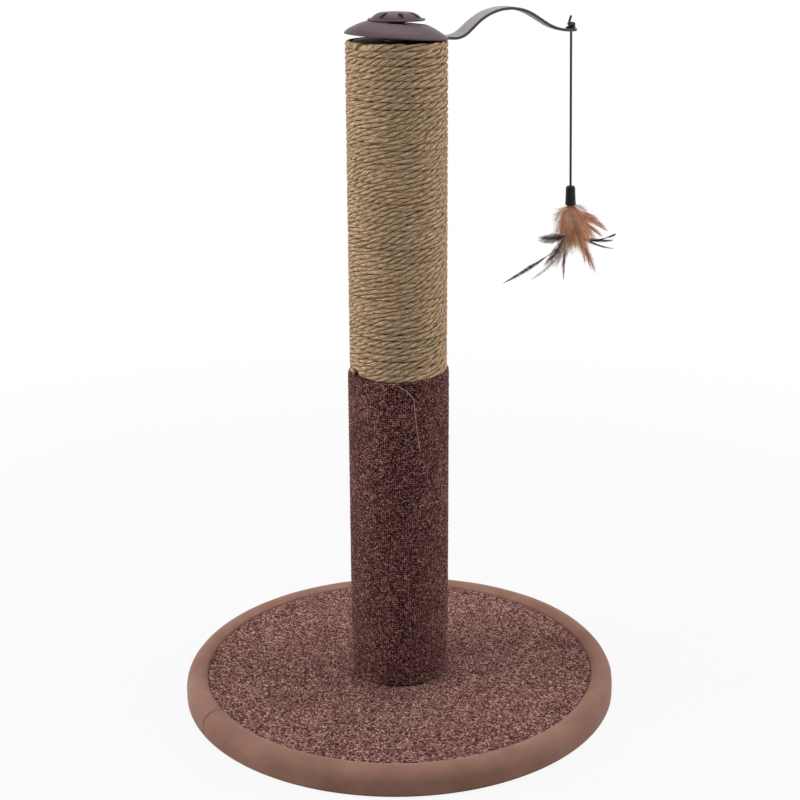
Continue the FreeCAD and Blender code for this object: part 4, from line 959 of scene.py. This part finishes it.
# What feather takes, in order: root, tip, bow, width, barbs, angle, fluff, shade, quill, bare,
# blunt, barb and taper.
ginger_feathers = []
for number in range(hackle_count):
    around = number * golden_angle
    spread = 0.05 + 0.55 * ((number + 0.5) / hackle_count) ** 0.7
    far = ginger_seed.uniform(34.0, 50.0) * (1.0 - 0.3 * spread)
    root = (0.8 * cos(around), 0.8 * sin(around), 1.0)
    tip = (far * (sin(spread) * cos(around) + 0.14), far * sin(spread) * sin(around), -far * cos(spread))
    bow, width, shade = (ginger_seed.uniform(*limits) for limits in ((-3.0, 3.0), (7.0, 11.0), (0.34, 0.66)))
    ginger_feathers.append((root, tip, bow, width, 110, 0.5, 0.3, shade, 0.35, 0.03, 0.02, 0.24, 0.6))
for root, tip, width, shade in (((6, -2, -10), (34, 0, -25.5), 6.0, 0.34),
                                ((6, -3, -8), (31, -3, -21), 6.0, 0.42),
                                ((6, -4, -14), (28, -5, -29), 6.0, 0.38),
                                ((4, 0, -6), (26, 3, -16), 6.0, 0.5),
                                ((5, -4, -24), (22, -5, -62), 8.0, 0.36),
                                ((5, -5, -24), (18, -6, -58), 8.0, 0.46),
                                ((4, -3, -20), (13, -3, -54), 7.0, 0.5),
                                ((0, -4, -20), (-9, -6, -57), 6.0, 0.62),
                                ((-2, -4, -20), (-14, -6, -56), 7.0, 0.7)):
    ginger_feathers.append((root, tip, 1.5, width, 130, 0.4, 0.08, shade, 0.35, 0.0, 0.06, 0.34, 0.3))
bunch("ginger_hackles", ginger_feathers, ginger, "ginger_feather", ["ginger_feathers"], 6, 7600)

dark = feather_material("grey_quill_feather", [(0.10, "#2E2021"), (0.42, "#75625F"), (0.8, "#CFC4BD")], 120.0)
dark_feathers = [
    ((-10, -6, -38), (-62, -4, -71), 1.0, 6.5, 170, 0.38, 0.02, 0.42, 0.45, 0.24, 0.02, 0.5, 0.15),
    ((-3, -8, -27), (-26, -10, -28.5), 1.0, 8.0, 100, 0.55, 0.03, 0.36, 0.35, 0.05, 0.3, 0.5, 0.15),
    ((-5, -8, -26), (-22.5, -10, -51), 2.0, 8.5, 110, 0.5, 0.05, 0.46, 0.35, 0.1, 0.2, 0.5, 0.2),
    ((10, -6, -31), (39, -8, -26.5), -3.0, 2.6, 90, 0.9, 0.02, 0.2, 1.3, 0.78, 0.5, 0.7, 0.1),
    ((10, -4, -30.5), (38, -5, -32.5), -1.2, 4.4, 90, 0.4, 0.02, 0.28, 0.9, 0.0, 0.1, 0.6, 0.2),
    ((10, -2, -30), (39, -2, -41), -1.8, 2.6, 80, 0.4, 0.02, 0.12, 1.0, 0.0, 0.1, 0.6, 0.2),
    ((0, 4, -16), (-8, 26, -42), 2.0, 8.0, 90, 0.5, 0.06, 0.4, 0.35, 0.1, 0.02, 0.5, 0.2)]
bunch("grey_quill_feathers", dark_feathers, dark, "dark_feather", ["dark_feathers"], 7)

pale = feather_material("pale_barred_feather", [(0.10, "#6E6361"), (0.45, "#A89C98"), (0.8, "#E2DAD4")], 90.0)
pale_feathers = [
    ((-10, -2, -46), (-36, 0, -69), 1.6, 5.0, 90, 0.4, 0.12, 0.62, 0.35, 0.1, 0.02, 0.34),
    ((-5, -6, -34), (-6.6, -7, -68), -0.6, 4.6, 100, 0.4, 0.04, 0.30, 0.35, 0.1, 0.02, 0.45, 0.2),
    ((-3, -5, -24), (-17, -8, -55), 2.0, 8.0, 110, 0.5, 0.18, 0.66, 0.35, 0.1),
    ((1, 0, 0), (16, 2, -10), 2.0, 6.0, 60, 0.7, 0.4, 0.8, 0.35, 0.05),
    ((-1, 0, 0), (-14, 2, -16), -2.0, 8.0, 70, 0.7, 0.4, 0.8, 0.35, 0.05)]
bunch("pale_barred_feathers", pale_feathers, pale, "pale_feather", ["pale_feathers"], 8)

# ---------------------------------------------------------------- board and card tube
# What the dressing covers: a raw particle board disc underneath, the spiral-wound card tube,
# a turned softwood plug in the tube's foot, and the foam roll under the suede.


def dress_node(names, material):
    """Gives CAD nodes a material in place of their plain one."""
    for name in names:
        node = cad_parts[name]
        if not node.material_slots:
            node.data.materials.append(material)
        for place in node.material_slots:
            place.material = material


def chip_material(name, tones, size, stretch=(1.0, 1.0, 1.0)):
    """Wood or card: flat chips or fibres of one size in mixed tones."""
    material, shader = new_material(name, tones[1][1], roughness=0.85)
    place = add_node(material, "TexCoord", {})
    turned = add_node(material, "Mapping", {"Vector": (place, "Object"), "Scale": stretch})
    cells = add_node(material, "TexVoronoi", {"Vector": (turned, "Vector"), "Scale": 1.0 / (size * MM)})
    speck = add_node(material, "SeparateColor", {"Color": (cells, "Color")})
    wire_up(material, shader, base_color=ramp(material, (speck, "Red"), tones),
            normal=bump(material, (speck, "Green"), 0.2, 0.0003))
    return material


board_tones = [(0.1, "#9C7A50"), (0.5, "#BC9A6C"), (0.9, "#D6BA8C")]
card_tones = [(0.1, "#94754E"), (0.5, "#A88A60"), (0.9, "#B89A70")]
softwood_tones = [(0.1, "#C3A070"), (0.5, "#D2B080"), (0.9, "#E0C49A")]
dress_node(["base_board"], chip_material("particle_board", board_tones, 3.0))
dress_node(["post_tube"], chip_material("spiral_card", card_tones, 2.0, (1.0, 1.0, 0.15)))
dress_node(["bottom_plug"], chip_material("turned_softwood", softwood_tones, 1.6, (0.05, 1.0, 1.0)))
foam_cells = ("Voronoi", 900.0, {}, {})
dress_node(["rim_padding"], relief_material("open_cell_foam", "#D8D2C4", foam_cells, "Distance", 0.6, 0.0005,
                                            roughness=0.95))

# ---------------------------------------------------------------- fixings
# Zinc-plated steel bolt, washer, tee nut, tacks, staples, stud, nut and screws; the plug of
# black plastic, the bush of nylon coloured near-black as painted shade in the gap under the cap, and the
# knob's insert of turned brass.
zinc, zinc_shader = new_material("zinc_plated_steel", "#B9BBBD", metallic=1.0, roughness=0.38)
zinc_cloud = (texture(zinc, "Noise", 260.0, {"Detail": 4.0}), "Fac")
wire_up(zinc, zinc_shader, base_color=ramp(zinc, zinc_cloud, [(0.3, "#A3A6A9"), (0.7, "#C9CBCC")]),
        roughness=rescale(zinc, zinc_cloud, 0.0, 1.0, 0.28, 0.5))
dress_node(["base_bolt", "base_washer", "bottom_tee_nut", "plug_tacks", "rim_staples", "rope_staples",
            "post_stud", "stud_nut", "cap_screws"], zinc)
dress_node(["top_plug"], black_plastic)
nylon_cloud = ("Noise", 200.0, {"Detail": 2.0}, {})
# The bush is coloured near-black as painted shade in the gap under the cap.
dress_node(["swivel_bush"], relief_material("nylon_darkened_for_gap_shade", "#2B2829", nylon_cloud, "Fac", 0.1, 0.0003,
                                            roughness=0.45))
brass_rings = ("Wave", 600.0, {}, {"bands_direction": "Z"})
dress_node(["knob_insert"], relief_material("turned_brass", "#C9A55A", brass_rings, "Fac", 0.2, 0.0002,
                                            metallic=1.0, roughness=0.3))

bpy.context.view_layer.update()
